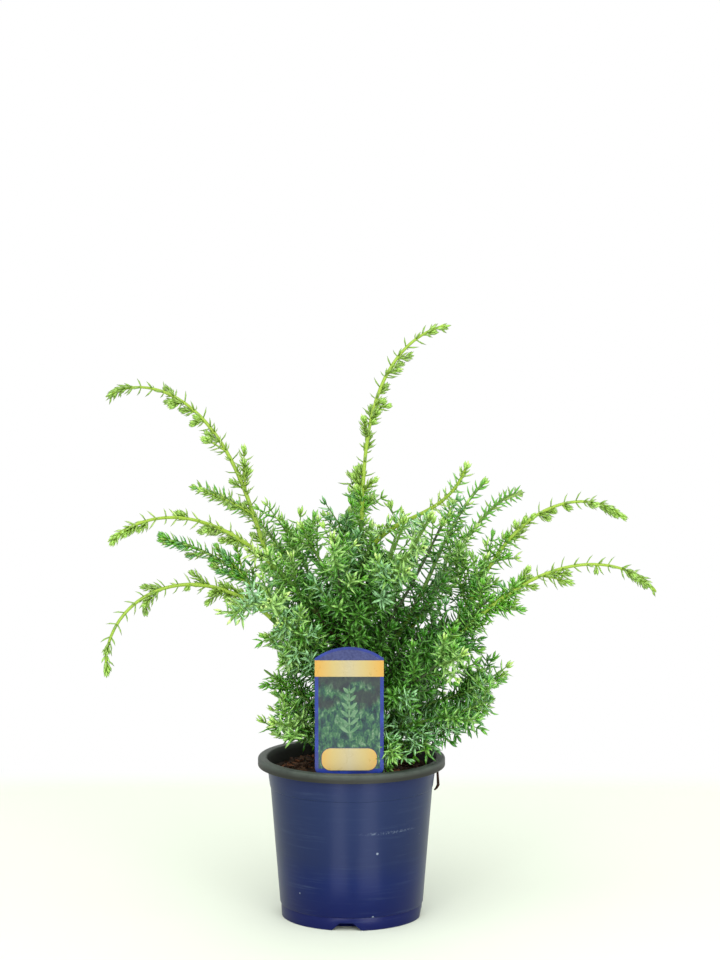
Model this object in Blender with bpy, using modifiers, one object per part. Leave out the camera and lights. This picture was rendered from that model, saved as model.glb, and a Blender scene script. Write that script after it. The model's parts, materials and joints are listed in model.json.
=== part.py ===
"""A potted flaky juniper: a nursery pot of compost, a picture label on its stake, a short trunk with its
main boughs, and the masses of foliage that the boughs carry.

Metres, +Z up. The origin is the middle of the pot's flat underside, and the front of the pot faces -Y.
Every limb is worked out from its height on the trunk, its heading, how it rises and its length.
"""

import math
import random

import bmesh
import bpy
import numpy as np
from mathutils import Matrix, Vector
from mathutils.bvhtree import BVHTree

# Gap between neighbouring solids
GAP = 0.0003

# The pot
POT_HEIGHT = 0.1463
POT_SIDES = 36
RIM_RADIUS = 0.085
RIM_HEIGHT = 0.0080
RIM_THICKNESS = 0.0014
WALL = 0.0016
NECK_RADIUS = 0.0766
LEDGE_HEIGHT = 0.1192
LEDGE_RADIUS = 0.0736
LEDGE_STEP = 0.0006
BODY_FOOT_RADIUS = 0.0650
FOOT_RING_RADIUS = 0.0642
FOOT_RING_HEIGHT = 0.0120
CHANNEL_HEIGHT = 0.0080
BOSS_RADIUS = 0.0468

# The drain notches in the foot ring, and the drain holes behind them
NOTCH_COUNT = 4
FIRST_NOTCH = 266
NOTCH_WIDTH = 0.027
NOTCH_TOP_WIDTH = 0.012
NOTCH_HEIGHT = 0.007
NOTCH_CUT = 0.008
HOLE_RADIUS = 0.004
HOLE_SIDES = 12

# The compost
SOIL_TOP = 0.134
SOIL_SIDES = 20

# The picture label, an arched card on a stake that stands in the compost
LABEL_X = -0.0018
LABEL_Y = -0.0680
LABEL_WIDTH = 0.0610
LABEL_THICKNESS = 0.0008
LABEL_FOOT = 0.1440
LABEL_SHOULDER = 0.2480
LABEL_TOP = 0.2582
LABEL_CORNER = 0.0055
STAKE_WIDTH = 0.014
STAKE_FOOT = 0.088
CORNER_STEPS = 4
ARCH_STEPS = 5

# The trunk
TRUNK_FOOT = (-0.020, 0.004, SOIL_TOP + GAP)
TRUNK_HEADING = 8
TRUNK_RISES = (74, 80, 88)
TRUNK_LENGTH = 0.172
TRUNK_STEPS = 14
TRUNK_RADIUS = 0.0066
TRUNK_TIP_RADIUS = 0.0030
TRUNK_SIDES = 8
ROOT_FLARE = 0.0050
FLARE_FADE = 0.009

# The boughs, each set on a short collar of the trunk
COLLAR = 0.0045
COLLAR_SWELL = 1.2
BOUGH_SIDES = 6
BOUGH_PITCH = 0.020
FACE = 0.002

# The long shoots: height on the trunk, heading, rise at the foot, along the way and at the tip, length,
# turn of the heading, and the shares of the length where its bough ends and where its foliage is split.
# A shoot with no height carries on from the trunk's tip.
SHOOTS = {
    "upper_left": (0.214, 154, (23, 139, -32), 0.395, 0, (0.36, 0.68)),
    "outer_left": (0.236, 198, (49, 62, -31), 0.298, 22, (0.40,)),
    "drooping_left": (0.178, 184, (62, 65, -98), 0.322, 22, (0.36, 0.68)),
    "top": (0.240, 80, (61, 131, 8), 0.338, -55, (0.36, 0.68)),
    "upper_right": (0.205, 14, (-17, 152, -42), 0.335, -20, (0.44,)),
    "lower_right": (0.190, -10, (14, 94, -50), 0.333, 22, (0.40,)),
    "front_right": (None, -50, (86, -30, 69), 0.185, 8, (0.24,)),
    "right": (0.218, 27, (17, 97, 38), 0.225, 0, (0.42,)),
    "back_right": (0.212, 40, (12, 83, -5), 0.305, 20, (0.44,)),
    "front": (0.258, -62, (43, 37, 45), 0.185, 0, (0.40,)),
    "back_left": (0.226, 138, (51, 60, 2), 0.253, 4, (0.42,)),
    "left": (0.194, 172, (56, 60, 8), 0.231, 5, (0.42,)),
    "back": (0.186, 90, (34, 96, -22), 0.290, -6, (0.42,)),
    "front_left": (0.204, 226, (26, 90, -36), 0.207, 15, (0.44,)),
}
SHOOT_STEPS = 40
SHOOT_RADIUS = 0.0026
SHOOT_TIP_RADIUS = 0.0012

# The close crown: each tier's lowest foot, step between feet, how many steps one limb's foot lies above
# the last one's, rises, and headings. More of them head right, where the crown reaches further.
TIERS = {
    "low": (0.1490, 0.0027, 3, (22, 6, 28), (-50, -20, 8, 42, 92, 140, 186, 228)),
    "middle": (0.1720, 0.0062, 5, (26, 34, 44), (-36, -8, 26, 66, 112, 166, 214, 268)),
    "high": (0.2240, 0.0105, 3, (48, 62, 66), (0, 51, 103, 154, 206, 257, 309)),
}
TIER_REACH = 0.16
TIER_STEPS = 64
TIER_FREE_STEPS = 12
SEAT_SAMPLES = 12
SEAT_STEP = 0.00005
TIER_RADIUS = 0.0018
TIER_TIP_RADIUS = 0.0011
CROWN_CENTRE = (0.032, 0.000, 0.250)
CROWN_SIZE = (0.113, 0.104, 0.122)
CROWN_SQUARENESS = 3.2

# How a twig leaves its stem in a spiral, and bends towards the stem's way and upwards
SEED = 11
GOLDEN_ANGLE = 137.508
TWIG_ANGLE = 48
TWIG_FOLLOW = 0.05
TWIG_LIFT = 0.03
TWIG_STEP = 0.004
TWIG_VARIES = 0.15
FIRST_TWIG = 0.45
LAST_TWIG = 0.010
SHOOT_TWIG_SPACING = 0.027
SHOOT_TWIG_FOOT = 0.058
SHOOT_TWIG_TIP = 0.010
SHOOT_TWIG_FALL = 0.6
TIER_TWIG_SPACING = 0.0230
TIER_TWIG = 0.046
TIER_TWIG_END = 0.012
TIER_TWIG_RISE = 0.9

# Needles, larger than life and fewer than on the plant
WHORL_PITCH = 0.0140
STEM_PITCH = 0.0175
NEEDLE_LENGTH = 0.0150
STEM_NEEDLE = 0.8
NEEDLE_ANGLE = 52
CORE_RADIUS = 0.0013
CORE_TAPER = 0.7

# The room kept between the masses, and around the limbs, the pot and the label
SPACE_PITCH = 0.003
SPACE_MARGIN = 0.0009
LIMB_MARGIN = 0.0012
POT_MARGIN = 0.0015
LABEL_ROOM = 0.010


def empty_scene():
    for item in list(bpy.data.objects):
        bpy.data.objects.remove(item, do_unlink=True)


def collection(name):
    group = bpy.data.collections.new(name)
    bpy.context.scene.collection.children.link(group)
    return group


def material(name, colour, roughness, metallic=0.0):
    finish = bpy.data.materials.new(name)
    finish.use_nodes = True
    shader = finish.node_tree.nodes["Principled BSDF"]
    shader.inputs["Base Color"].default_value = (*colour, 1.0)
    shader.inputs["Roughness"].default_value = roughness
    shader.inputs["Metallic"].default_value = metallic
    return finish


def place(name, mesh, group, finish=None):
    piece = bpy.data.objects.new(name, mesh)
    group.objects.link(piece)
    if finish:
        mesh.materials.clear()
        mesh.materials.append(finish)
    return piece


def settle(piece):
    """Give the piece its evaluated mesh and drop its modifiers."""
    bpy.context.view_layer.update()
    seen = piece.evaluated_get(bpy.context.evaluated_depsgraph_get())
    mesh = bpy.data.meshes.new_from_object(seen)
    piece.modifiers.clear()
    piece.data = mesh
    return mesh


def drop(group):
    for item in list(group.objects):
        bpy.data.objects.remove(item, do_unlink=True)


def boolean(piece, group, operation, solver):
    modifier = piece.modifiers.new(operation.lower(), "BOOLEAN")
    modifier.operand_type = "COLLECTION"
    modifier.collection = group
    modifier.operation = operation
    modifier.solver = solver
    mesh = settle(piece)
    drop(group)
    return mesh


def turned(name, profile, sides, group, finish):
    """A solid of revolution about Z. The profile runs out over the top and down its outer side."""
    mesh = bpy.data.meshes.new(name)
    points = [(radius, 0.0, height) for radius, height in profile]
    mesh.from_pydata(points, [(k, k + 1) for k in range(len(points) - 1)], [])
    piece = place(name, mesh, group, finish)
    screw = piece.modifiers.new("turn", "SCREW")
    screw.steps = sides
    screw.render_steps = sides
    screw.use_merge_vertices = True
    screw.merge_threshold = 0.0001
    screw.use_smooth_shade = True
    return piece


def prism(name, outline, thickness, group):
    """A flat outline in X and Y, thickened both ways along Z, as a closed mesh."""
    sheet = bpy.data.curves.new(name, "CURVE")
    sheet.dimensions = "2D"
    sheet.fill_mode = "BOTH"
    sheet.extrude = thickness / 2
    edge = sheet.splines.new("POLY")
    edge.points.add(len(outline) - 1)
    for point, (x, y) in zip(edge.points, outline):
        point.co = (x, y, 0.0, 1.0)
    edge.use_cyclic_u = True
    return curve_mesh(name, sheet, group)


def curve_mesh(name, curve, group):
    """Turn a curve into a closed mesh object whose caps are welded on."""
    source = bpy.data.objects.new(name + "_curve", curve)
    group.objects.link(source)
    bpy.context.view_layer.update()
    seen = source.evaluated_get(bpy.context.evaluated_depsgraph_get())
    mesh = bpy.data.meshes.new_from_object(seen)
    bpy.data.objects.remove(source, do_unlink=True)
    body = bmesh.new()
    body.from_mesh(mesh)
    bmesh.ops.remove_doubles(body, verts=body.verts, dist=0.00001)
    bmesh.ops.recalc_face_normals(body, faces=body.faces)
    body.to_mesh(mesh)
    body.free()
    return place(name, mesh, group)


def tube(name, points, radii, sides, group):
    """A tapering limb along the points, with flat ends."""
    curve = bpy.data.curves.new(name, "CURVE")
    curve.dimensions = "3D"
    curve.bevel_depth = 1.0
    curve.bevel_resolution = (sides - 4) // 2
    curve.use_fill_caps = True
    line = curve.splines.new("POLY")
    line.points.add(len(points) - 1)
    for point, place_at, radius in zip(line.points, points, radii):
        point.co = (*place_at, 1.0)
        point.radius = radius
    return curve_mesh(name, curve, group)


# The growth of a limb

def limb(foot, heading, rises, length, turn=0.0, steps=24):
    """Points along a limb. Its rise passes from the first value by the second to the last."""
    first, middle, last = (math.radians(rise) for rise in rises)
    point = np.array(foot, float)
    points = [point.copy()]
    for step in range(steps):
        share = (step + 0.5) / steps
        left = 1 - share
        rise = left ** 2 * first + 2 * share * left * middle + share ** 2 * last
        way = math.radians(heading + turn * share)
        out = math.cos(rise)
        point += length / steps * np.array([out * math.cos(way), out * math.sin(way), math.sin(rise)])
        points.append(point.copy())
    return np.array(points)


TRUNK = limb(TRUNK_FOOT, TRUNK_HEADING, TRUNK_RISES, TRUNK_LENGTH, 0.0, TRUNK_STEPS)


def on_trunk(height):
    """The point of the trunk's middle line at a height, and the trunk's radius there."""
    spot = np.interp(height, TRUNK[:, 2], np.arange(len(TRUNK)))
    low = min(int(spot), len(TRUNK) - 2)
    return TRUNK[low] + (spot - low) * (TRUNK[low + 1] - TRUNK[low]), trunk_radius(height)


def trunk_radius(height):
    risen = height - TRUNK_FOOT[2]
    share = risen / (TRUNK[-1][2] - TRUNK_FOOT[2])
    taper = TRUNK_RADIUS + share * (TRUNK_TIP_RADIUS - TRUNK_RADIUS)
    return taper + ROOT_FLARE * math.exp(-risen / FLARE_FADE)


def along(points, start, end, pitch):
    """Points from one distance to another along a line of points, evenly spaced."""
    steps = np.linalg.norm(np.diff(points, axis=0), axis=1)
    run = np.concatenate([[0.0], np.cumsum(steps)])
    count = max(1, int(round((end - start) / pitch))) + 1
    marks = np.linspace(start, end, count)
    return np.stack([np.interp(marks, run, points[:, axis]) for axis in range(3)], axis=1)


def at(points, distance):
    return along(points, distance, distance, 1.0)[:1]


def run_length(points):
    return float(np.linalg.norm(np.diff(points, axis=0), axis=1).sum())


def in_tier(name):
    return any(name.startswith(f"mass_{tier}_") for tier in TIERS)


def in_crown(point):
    share = np.abs((point - np.array(CROWN_CENTRE)) / np.array(CROWN_SIZE))
    return (share ** CROWN_SQUARENESS).sum() < 1.0


def crown_limb(height, heading, rises):
    """A limb of the close crown grows until it meets the crown's surface, or comes near the label."""
    points = limb(on_trunk(height)[0], heading, rises, TIER_REACH, 0.0, TIER_STEPS)
    count = TIER_FREE_STEPS
    while count < len(points) and in_crown(points[count]) and clear_of_label(points[count], LABEL_ROOM):
        count += 1
    return points[:count]


def plan_limbs():
    """Every limb as its name, its points, the shares where its bough and masses end, and its radii."""
    limbs = []
    for name, (height, heading, rises, length, turn, shares) in SHOOTS.items():
        foot = TRUNK[-1] if height is None else on_trunk(height)[0]
        points = limb(foot, heading, rises, length, turn, SHOOT_STEPS)
        limbs.append((name, points, shares, SHOOT_RADIUS, SHOOT_TIP_RADIUS, height))
    for tier, (lowest, step, skip, rises, headings) in TIERS.items():
        for k, heading in enumerate(headings):
            height = lowest + step * (skip * k % len(headings))
            points = crown_limb(height, heading, rises)
            limbs.append((f"{tier}_{k + 1}", points, (), TIER_RADIUS, TIER_TIP_RADIUS, height))
    return limbs


def seat(points, height, radius):
    """How far along a limb its flat end comes clear of the trunk's surface."""
    way = at(points, BOUGH_PITCH)[0] - points[0]
    up = TRUNK[-1] - TRUNK[-2] if height is None else on_trunk(height + FACE)[0] - on_trunk(height)[0]
    lean = math.acos(way @ up / np.linalg.norm(way) / np.linalg.norm(up))
    if height is None:
        return radius * math.sin(lean)
    return on_trunk(height)[1] / math.sin(lean) + radius / abs(math.tan(lean))


def stems_of(limbs):
    """The line of each mass's stem, the line of each bough, and the height where each limb leaves."""
    stems = {}
    boughs = {}
    for name, points, shares, foot_radius, tip_radius, height in limbs:
        whole = run_length(points)
        start = seat(points, height, foot_radius) + (GAP if shares else 2 * GAP)
        if shares and height:
            start += COLLAR
        marks = [start] + [share * whole for share in shares] + [whole]
        radii = [foot_radius + mark / whole * (tip_radius - foot_radius) for mark in marks]
        if shares:
            boughs[f"bough_{name}"] = (points, marks[0], marks[1], radii[0], radii[1])
            marks = marks[1:]
            radii = radii[1:]
        parts = len(marks) - 1
        for k in range(parts):
            label = f"mass_{name}" if parts == 1 else f"mass_{name}_{k + 1}"
            first = marks[k] + (GAP if shares else 0.0)
            stems[label] = (points, first, marks[k + 1], radii[k], radii[k + 1])
    return stems, boughs


class Space:
    """Tells whether a point lies in a mass's own space and clear of every limb, the pot and the label."""

    def __init__(self, stems, boughs):
        self.names = list(stems)
        lines = [along(line, start, end, SPACE_PITCH) for line, start, end, *_ in stems.values()]
        self.points = np.concatenate(lines)
        self.owner = np.concatenate([np.full(len(line), k) for k, line in enumerate(lines)])
        wood = []
        girth = []
        trunk = (TRUNK, 0.0, run_length(TRUNK), TRUNK_RADIUS, TRUNK_TIP_RADIUS)
        for line, _, end, thick, thin in [trunk, *boughs.values()]:
            wood.append(along(line, 0.0, end, SPACE_PITCH))
            girth.append(np.linspace(thick, thin, len(wood[-1])))
        self.wood = np.concatenate(wood)
        self.girth = np.concatenate(girth)

    def free(self, point, name):
        far = np.linalg.norm(self.points - point, axis=1)
        mine = self.owner == self.names.index(name)
        if far[mine].min() + 2 * SPACE_MARGIN > far[~mine].min():
            return False
        if (np.linalg.norm(self.wood - point, axis=1) - self.girth).min() < LIMB_MARGIN:
            return False
        return clear_of_pot(point) and clear_of_label(point, POT_MARGIN)


def clear_of_pot(point):
    out = math.hypot(point[0], point[1])
    if out < RIM_RADIUS + POT_MARGIN:
        rim = POT_HEIGHT if out > NECK_RADIUS - 2 * POT_MARGIN else SOIL_TOP
        return point[2] > rim + POT_MARGIN
    return point[2] > POT_HEIGHT - RIM_HEIGHT


def clear_of_label(point, margin):
    beside = abs(point[0] - LABEL_X) > LABEL_WIDTH / 2 + margin
    above = point[2] > LABEL_TOP + margin
    behind = abs(point[1] - LABEL_Y) > LABEL_THICKNESS / 2 + margin
    return beside or above or behind


def frames(points, first_way=None):
    """The way forward at each point, and two ways across it that don't twist along the line."""
    ways = np.gradient(points, axis=0)
    if first_way is not None:
        ways[0] = first_way
    ways /= np.linalg.norm(ways, axis=1)[:, None]
    across = np.cross(ways[0], (0.0, 0.0, 1.0))
    if np.linalg.norm(across) < 0.1:
        across = np.cross(ways[0], (1.0, 0.0, 0.0))
    sides = []
    for way in ways:
        across = across - way * (across @ way)
        across /= np.linalg.norm(across)
        sides.append(across)
    sides = np.array(sides)
    return ways, sides, np.cross(sides, ways)


def plan_twigs(name, stem, space, chance):
    """The side twigs of a mass, each as its points: they leave the stem in a spiral and turn outwards."""
    line, start, end, *_ = stem
    shoot = not in_tier(name)
    spacing = SHOOT_TWIG_SPACING if shoot else TIER_TWIG_SPACING
    whole = run_length(line)
    points = along(line, 0.0, whole, FACE)
    ways, sides, ups = frames(points)
    lean = math.radians(TWIG_ANGLE)
    twigs = []
    turn = chance.uniform(0, 360)
    mark = start + spacing * FIRST_TWIG
    while mark < end - LAST_TWIG:
        share = mark / whole
        length = TIER_TWIG
        if shoot:
            length = SHOOT_TWIG_FOOT + (SHOOT_TWIG_TIP - SHOOT_TWIG_FOOT) * share ** SHOOT_TWIG_FALL
        length *= chance.uniform(1 - TWIG_VARIES, 1 + TWIG_VARIES)
        if not shoot:
            length = min(length, TIER_TWIG_END + TIER_TWIG_RISE * (end - mark))
        spot = int(share * (len(points) - 1))
        angle = math.radians(turn)
        out = math.cos(angle) * sides[spot] + math.sin(angle) * ups[spot]
        way = math.cos(lean) * ways[spot] + math.sin(lean) * out
        twig = [points[spot]]
        steps = max(2, round(length / TWIG_STEP))
        for _ in range(steps):
            way = way + TWIG_FOLLOW * ways[spot] + np.array([0.0, 0.0, TWIG_LIFT])
            way /= np.linalg.norm(way)
            point = twig[-1] + length / steps * way
            if len(twig) > 1 and not space.free(point, name):
                break
            twig.append(point)
        if len(twig) > 3:
            twigs.append(np.array(twig))
        turn += GOLDEN_ANGLE
        mark += spacing
    return twigs


def spray(body, points, radii, first_whorl, needle, name, space, first_way=None):
    """A slim three-sided core, with needles standing out of it in whorls of three, added to the mesh."""
    ways, sides, ups = frames(points, first_way)
    rings = []
    for k in range(len(points) - 1):
        ring = []
        for corner in range(3):
            angle = math.radians(120 * corner + 60 * (k % 2))
            across = math.cos(angle) * sides[k] + math.sin(angle) * ups[k]
            ring.append(body.verts.new(points[k] + radii[k] * across))
        rings.append(ring)
    body.faces.new(rings[0][::-1])
    lean = math.radians(NEEDLE_ANGLE)
    for k in range(len(rings) - 1):
        low, high = rings[k], rings[k + 1]
        for corner in range(3):
            after = (corner + 1) % 3
            odd = k % 2
            corners = [low[corner], low[after], high[after if odd else corner]]
            body.faces.new([low[corner if odd else after], high[after], high[corner]])
            middle = sum((vert.co for vert in corners), Vector()) / 3
            out = np.array(middle) - (points[k] + points[k + 1]) / 2
            out -= ways[k] * (out @ ways[k])
            out /= np.linalg.norm(out)
            reach = needle * (math.sin(lean) * out + math.cos(lean) * ways[k])
            tip = np.array(middle) + reach
            half = np.array(middle) + reach * 0.5
            if k >= first_whorl and space.free(tip, name) and space.free(half, name):
                point = body.verts.new(tip)
                for edge in range(3):
                    body.faces.new([corners[edge], corners[(edge + 1) % 3], point])
            else:
                body.faces.new(corners)
    bud = body.verts.new(points[-1])
    last = rings[-1]
    for corner in range(3):
        body.faces.new([last[corner], last[(corner + 1) % 3], bud])


def spray_piece(name, group, *values):
    body = bmesh.new()
    spray(body, *values)
    bmesh.ops.recalc_face_normals(body, faces=body.faces)
    mesh = bpy.data.meshes.new(name)
    body.to_mesh(mesh)
    body.free()
    return place(name, mesh, group)


def keep_largest(mesh):
    """Drop loose scraps, and fill any hollow that the fusing sealed."""
    body = bmesh.new()
    body.from_mesh(mesh)
    left = set(body.faces)
    shells = []
    while left:
        shell = {left.pop()}
        edge_on = list(shell)
        while edge_on:
            face = edge_on.pop()
            for edge in face.edges:
                for other in edge.link_faces:
                    if other in left:
                        left.discard(other)
                        shell.add(other)
                        edge_on.append(other)
        shells.append(shell)
    shells.sort(key=len)
    for shell in shells[:-1]:
        bmesh.ops.delete(body, geom=list(shell), context="FACES")
    loose = [vert for vert in body.verts if not vert.link_faces]
    bmesh.ops.delete(body, geom=loose, context="VERTS")
    body.to_mesh(mesh)
    body.free()


def seated(stem, trunk):
    """Slide a stem of the close crown down its line until its foot lies one gap clear of the trunk."""
    line, start, end, thick, thin = stem
    body = bmesh.new()
    body.from_mesh(trunk.data)
    surface = BVHTree.FromBMesh(body)
    body.free()
    clear = start
    mark = start
    while mark > 0.0:
        foot = along(line, mark, mark + FACE, FACE)
        _, sides, ups = frames(foot)
        rim = []
        for k in range(SEAT_SAMPLES):
            angle = 2 * math.pi * k / SEAT_SAMPLES
            rim.append(foot[0] + thick * (math.cos(angle) * sides[0] + math.sin(angle) * ups[0]))
        if min(surface.find_nearest(Vector(point))[3] for point in rim) < GAP:
            break
        clear = mark
        mark -= SEAT_STEP
    return line, clear, end, thick, thin


def build_mass(name, stem, space, group, cutters, finish):
    chance = random.Random(f"{SEED} {name}")
    line, start, end, thick, thin = stem
    points = along(line, start, end, STEM_PITCH)
    radii = np.linspace(thick, thin, len(points))
    stem_needle = NEEDLE_LENGTH * STEM_NEEDLE
    first_way = (at(line, start + FACE) - at(line, start))[0]
    mass = spray_piece(name, group, points, radii, 1, stem_needle, name, space, first_way)
    for number, twig in enumerate(plan_twigs(name, stem, space, chance)):
        core = along(twig, 0.0, run_length(twig), WHORL_PITCH)
        widths = np.linspace(CORE_RADIUS, CORE_RADIUS * CORE_TAPER, len(core))
        spray_piece(f"{name}_twig_{number}", cutters, core, widths, 0, NEEDLE_LENGTH, name, space)
    boolean(mass, cutters, "UNION", "MANIFOLD")
    keep_largest(mass.data)
    mass.data.materials.clear()
    mass.data.materials.append(finish)
    return mass


def build_pot(group, cutters, finish):
    inner_neck = NECK_RADIUS - WALL
    rim_top = POT_HEIGHT - RIM_THICKNESS
    rim_foot = POT_HEIGHT - RIM_HEIGHT
    skirt = RIM_RADIUS - RIM_THICKNESS
    profile = [
        (0.0, WALL),
        (BOSS_RADIUS - WALL, WALL),
        (BOSS_RADIUS, CHANNEL_HEIGHT + WALL),
        (BODY_FOOT_RADIUS - 3 * WALL, CHANNEL_HEIGHT + WALL),
        (BODY_FOOT_RADIUS - WALL, FOOT_RING_HEIGHT + WALL),
        (LEDGE_RADIUS - WALL, LEDGE_HEIGHT),
        (inner_neck, rim_foot),
        (inner_neck + 0.0020, POT_HEIGHT),
        (RIM_RADIUS - 0.0012, POT_HEIGHT),
        (RIM_RADIUS, POT_HEIGHT - 0.0012),
        (RIM_RADIUS, rim_foot),
        (skirt, rim_foot),
        (skirt, rim_top),
        (NECK_RADIUS + 0.0012, rim_top),
        (NECK_RADIUS, rim_foot),
        (LEDGE_RADIUS + LEDGE_STEP, LEDGE_HEIGHT + LEDGE_STEP),
        (LEDGE_RADIUS, LEDGE_HEIGHT),
        (BODY_FOOT_RADIUS, FOOT_RING_HEIGHT),
        (FOOT_RING_RADIUS, FOOT_RING_HEIGHT - 0.0006),
        (FOOT_RING_RADIUS - 0.0003, 0.0),
        (FOOT_RING_RADIUS - WALL, 0.0),
        (FOOT_RING_RADIUS - WALL - 0.0004, CHANNEL_HEIGHT),
        (BOSS_RADIUS + WALL, CHANNEL_HEIGHT),
        (BOSS_RADIUS, 0.0),
        (0.0, 0.0),
    ]
    pot = turned("pot", profile, POT_SIDES, group, finish)
    settle(pot)
    half = NOTCH_WIDTH / 2
    half_top = NOTCH_TOP_WIDTH / 2
    right = [(half, -WALL), (half, 0.0), (half_top, NOTCH_HEIGHT)]
    outline = right + [(-x, height) for x, height in reversed(right)]
    for k in range(NOTCH_COUNT):
        heading = math.radians(FIRST_NOTCH + 360 / NOTCH_COUNT * k)
        way = Vector((math.cos(heading), math.sin(heading), 0))
        notch = prism(f"notch_{k}", outline, NOTCH_CUT, cutters)
        stand = Matrix.Rotation(heading + math.pi / 2, 4, "Z") @ Matrix.Rotation(math.pi / 2, 4, "X")
        notch.data.transform(Matrix.Translation(way * FOOT_RING_RADIUS) @ stand)
        drill = bmesh.new()
        bmesh.ops.create_cone(
            drill, cap_ends=True, segments=HOLE_SIDES,
            radius1=HOLE_RADIUS, radius2=HOLE_RADIUS, depth=3 * WALL)
        middle = way * (BOSS_RADIUS + FOOT_RING_RADIUS) / 2
        middle.z = CHANNEL_HEIGHT + WALL / 2
        drill.transform(Matrix.Translation(middle))
        mesh = bpy.data.meshes.new(f"drill_{k}")
        drill.to_mesh(mesh)
        drill.free()
        place(f"drill_{k}", mesh, cutters)
    boolean(pot, cutters, "DIFFERENCE", "EXACT")
    return pot


def stand_up(piece, x, y):
    """Turn a flat outline drawn in X and Y so that its Y is the height."""
    piece.data.transform(Matrix.Translation((x, y, 0)) @ Matrix.Rotation(math.pi / 2, 4, "X"))


def inside(radius):
    """The radius that clears the facets of the pot's inner wall by the gap."""
    return (radius - WALL) * math.cos(math.pi / POT_SIDES) - GAP


def build_soil(group, cutters, finish):
    rise = (SOIL_TOP - LEDGE_HEIGHT) / (POT_HEIGHT - RIM_HEIGHT - LEDGE_HEIGHT)
    edge = LEDGE_RADIUS + rise * (NECK_RADIUS - LEDGE_RADIUS)
    floor = CHANNEL_HEIGHT + WALL + GAP
    profile = [
        (0.0, SOIL_TOP),
        (inside(edge), SOIL_TOP),
        (inside(LEDGE_RADIUS), LEDGE_HEIGHT),
        (inside(BODY_FOOT_RADIUS), FOOT_RING_HEIGHT + WALL + 2 * GAP),
        (inside(BODY_FOOT_RADIUS - 2 * WALL) - GAP, floor),
        (0.0, floor),
    ]
    soil = turned("compost", profile, SOIL_SIDES, group, finish)
    settle(soil)
    half = STAKE_WIDTH / 2 + GAP
    foot = STAKE_FOOT - GAP
    top = SOIL_TOP + LABEL_ROOM
    outline = [(-half, foot), (half, foot), (half, top), (-half, top)]
    slot = prism("slot", outline, LABEL_THICKNESS + 2 * GAP, cutters)
    stand_up(slot, LABEL_X, LABEL_Y)
    boolean(soil, cutters, "DIFFERENCE", "EXACT")
    return soil


def build_label(group, finish):
    half = LABEL_WIDTH / 2
    right = [(STAKE_WIDTH / 2, STAKE_FOOT), (STAKE_WIDTH / 2, LABEL_FOOT)]
    for k in range(CORNER_STEPS + 1):
        angle = math.pi / 2 * k / CORNER_STEPS
        across = half - LABEL_CORNER + LABEL_CORNER * math.sin(angle)
        right.append((across, LABEL_FOOT + LABEL_CORNER * (1 - math.cos(angle))))
    for k in range(ARCH_STEPS):
        angle = math.pi / 2 * k / ARCH_STEPS
        height = LABEL_SHOULDER + (LABEL_TOP - LABEL_SHOULDER) * math.sin(angle)
        right.append((half * math.cos(angle), height))
    outline = right + [(0.0, LABEL_TOP)] + [(-x, height) for x, height in reversed(right)]
    label = prism("label", outline, LABEL_THICKNESS, group)
    stand_up(label, LABEL_X, LABEL_Y)
    label.data.materials.append(finish)
    return label


def build_trunk(limbs, group, cutters, finish):
    foot = TRUNK[:1] - (TRUNK[1:2] - TRUNK[:1]) * 0.5
    flare = along(TRUNK, 0.0, 1.5 * FLARE_FADE, 0.5 * FLARE_FADE)
    points = np.concatenate([foot, flare, TRUNK[2:]])
    radii = [trunk_radius(max(point[2], TRUNK_FOOT[2])) for point in points]
    trunk = tube("trunk", points, radii, TRUNK_SIDES, group)
    for name, points, shares, foot_radius, _, height in limbs:
        if shares and height:
            reach = seat(points, height, foot_radius) + COLLAR
            stub = np.concatenate([points[:1], along(points, reach - FACE, reach, FACE)])
            width = foot_radius * COLLAR_SWELL
            tube(f"collar_{name}", stub, [width, width, foot_radius], BOUGH_SIDES, cutters)
    boolean(trunk, cutters, "UNION", "MANIFOLD")
    body = bmesh.new()
    body.from_mesh(trunk.data)
    everything = body.verts[:] + body.edges[:] + body.faces[:]
    cut = bmesh.ops.bisect_plane(
        body, geom=everything, plane_co=TRUNK_FOOT, plane_no=(0, 0, -1), clear_outer=True, dist=0.000001)
    edges = [item for item in cut["geom_cut"] if isinstance(item, bmesh.types.BMEdge)]
    bmesh.ops.edgenet_fill(body, edges=edges)
    bmesh.ops.recalc_face_normals(body, faces=body.faces)
    body.to_mesh(trunk.data)
    body.free()
    trunk.data.materials.append(finish)
    return trunk


def build_bough(name, bough, group, finish):
    line, start, end, thick, thin = bough
    middle = along(line, start + FACE, end - FACE, BOUGH_PITCH)
    points = np.concatenate([at(line, start), middle, at(line, end)])
    piece = tube(name, points, np.linspace(thick, thin, len(points)), BOUGH_SIDES, group)
    piece.data.materials.append(finish)
    return piece


# The pieces

def build():
    empty_scene()
    plant = collection("potted_flaky_juniper")
    cutters = collection("cutters")
    pot_blue = material("pot_blue", (0.018, 0.028, 0.115), 0.38)
    compost = material("compost", (0.022, 0.013, 0.009), 0.95)
    card = material("card", (0.30, 0.33, 0.40), 0.4)
    bark = material("bark", (0.16, 0.085, 0.045), 0.85)
    foliage = material("foliage", (0.065, 0.19, 0.045), 0.6)
    build_pot(plant, cutters, pot_blue)
    build_soil(plant, cutters, compost)
    build_label(plant, card)
    limbs = plan_limbs()
    trunk = build_trunk(limbs, plant, cutters, bark)
    stems, boughs = stems_of(limbs)
    for name, bough in boughs.items():
        build_bough(name, bough, plant, bark)
    space = Space(stems, boughs)
    for name, stem in stems.items():
        if in_tier(name):
            stem = seated(stem, trunk)
        build_mass(name, stem, space, plant, cutters, foliage)
    for piece in plant.objects:
        piece.data.shade_smooth()
        piece.data.set_sharp_from_angle(angle=math.radians(35))
    bpy.data.collections.remove(cutters)


build()
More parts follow.
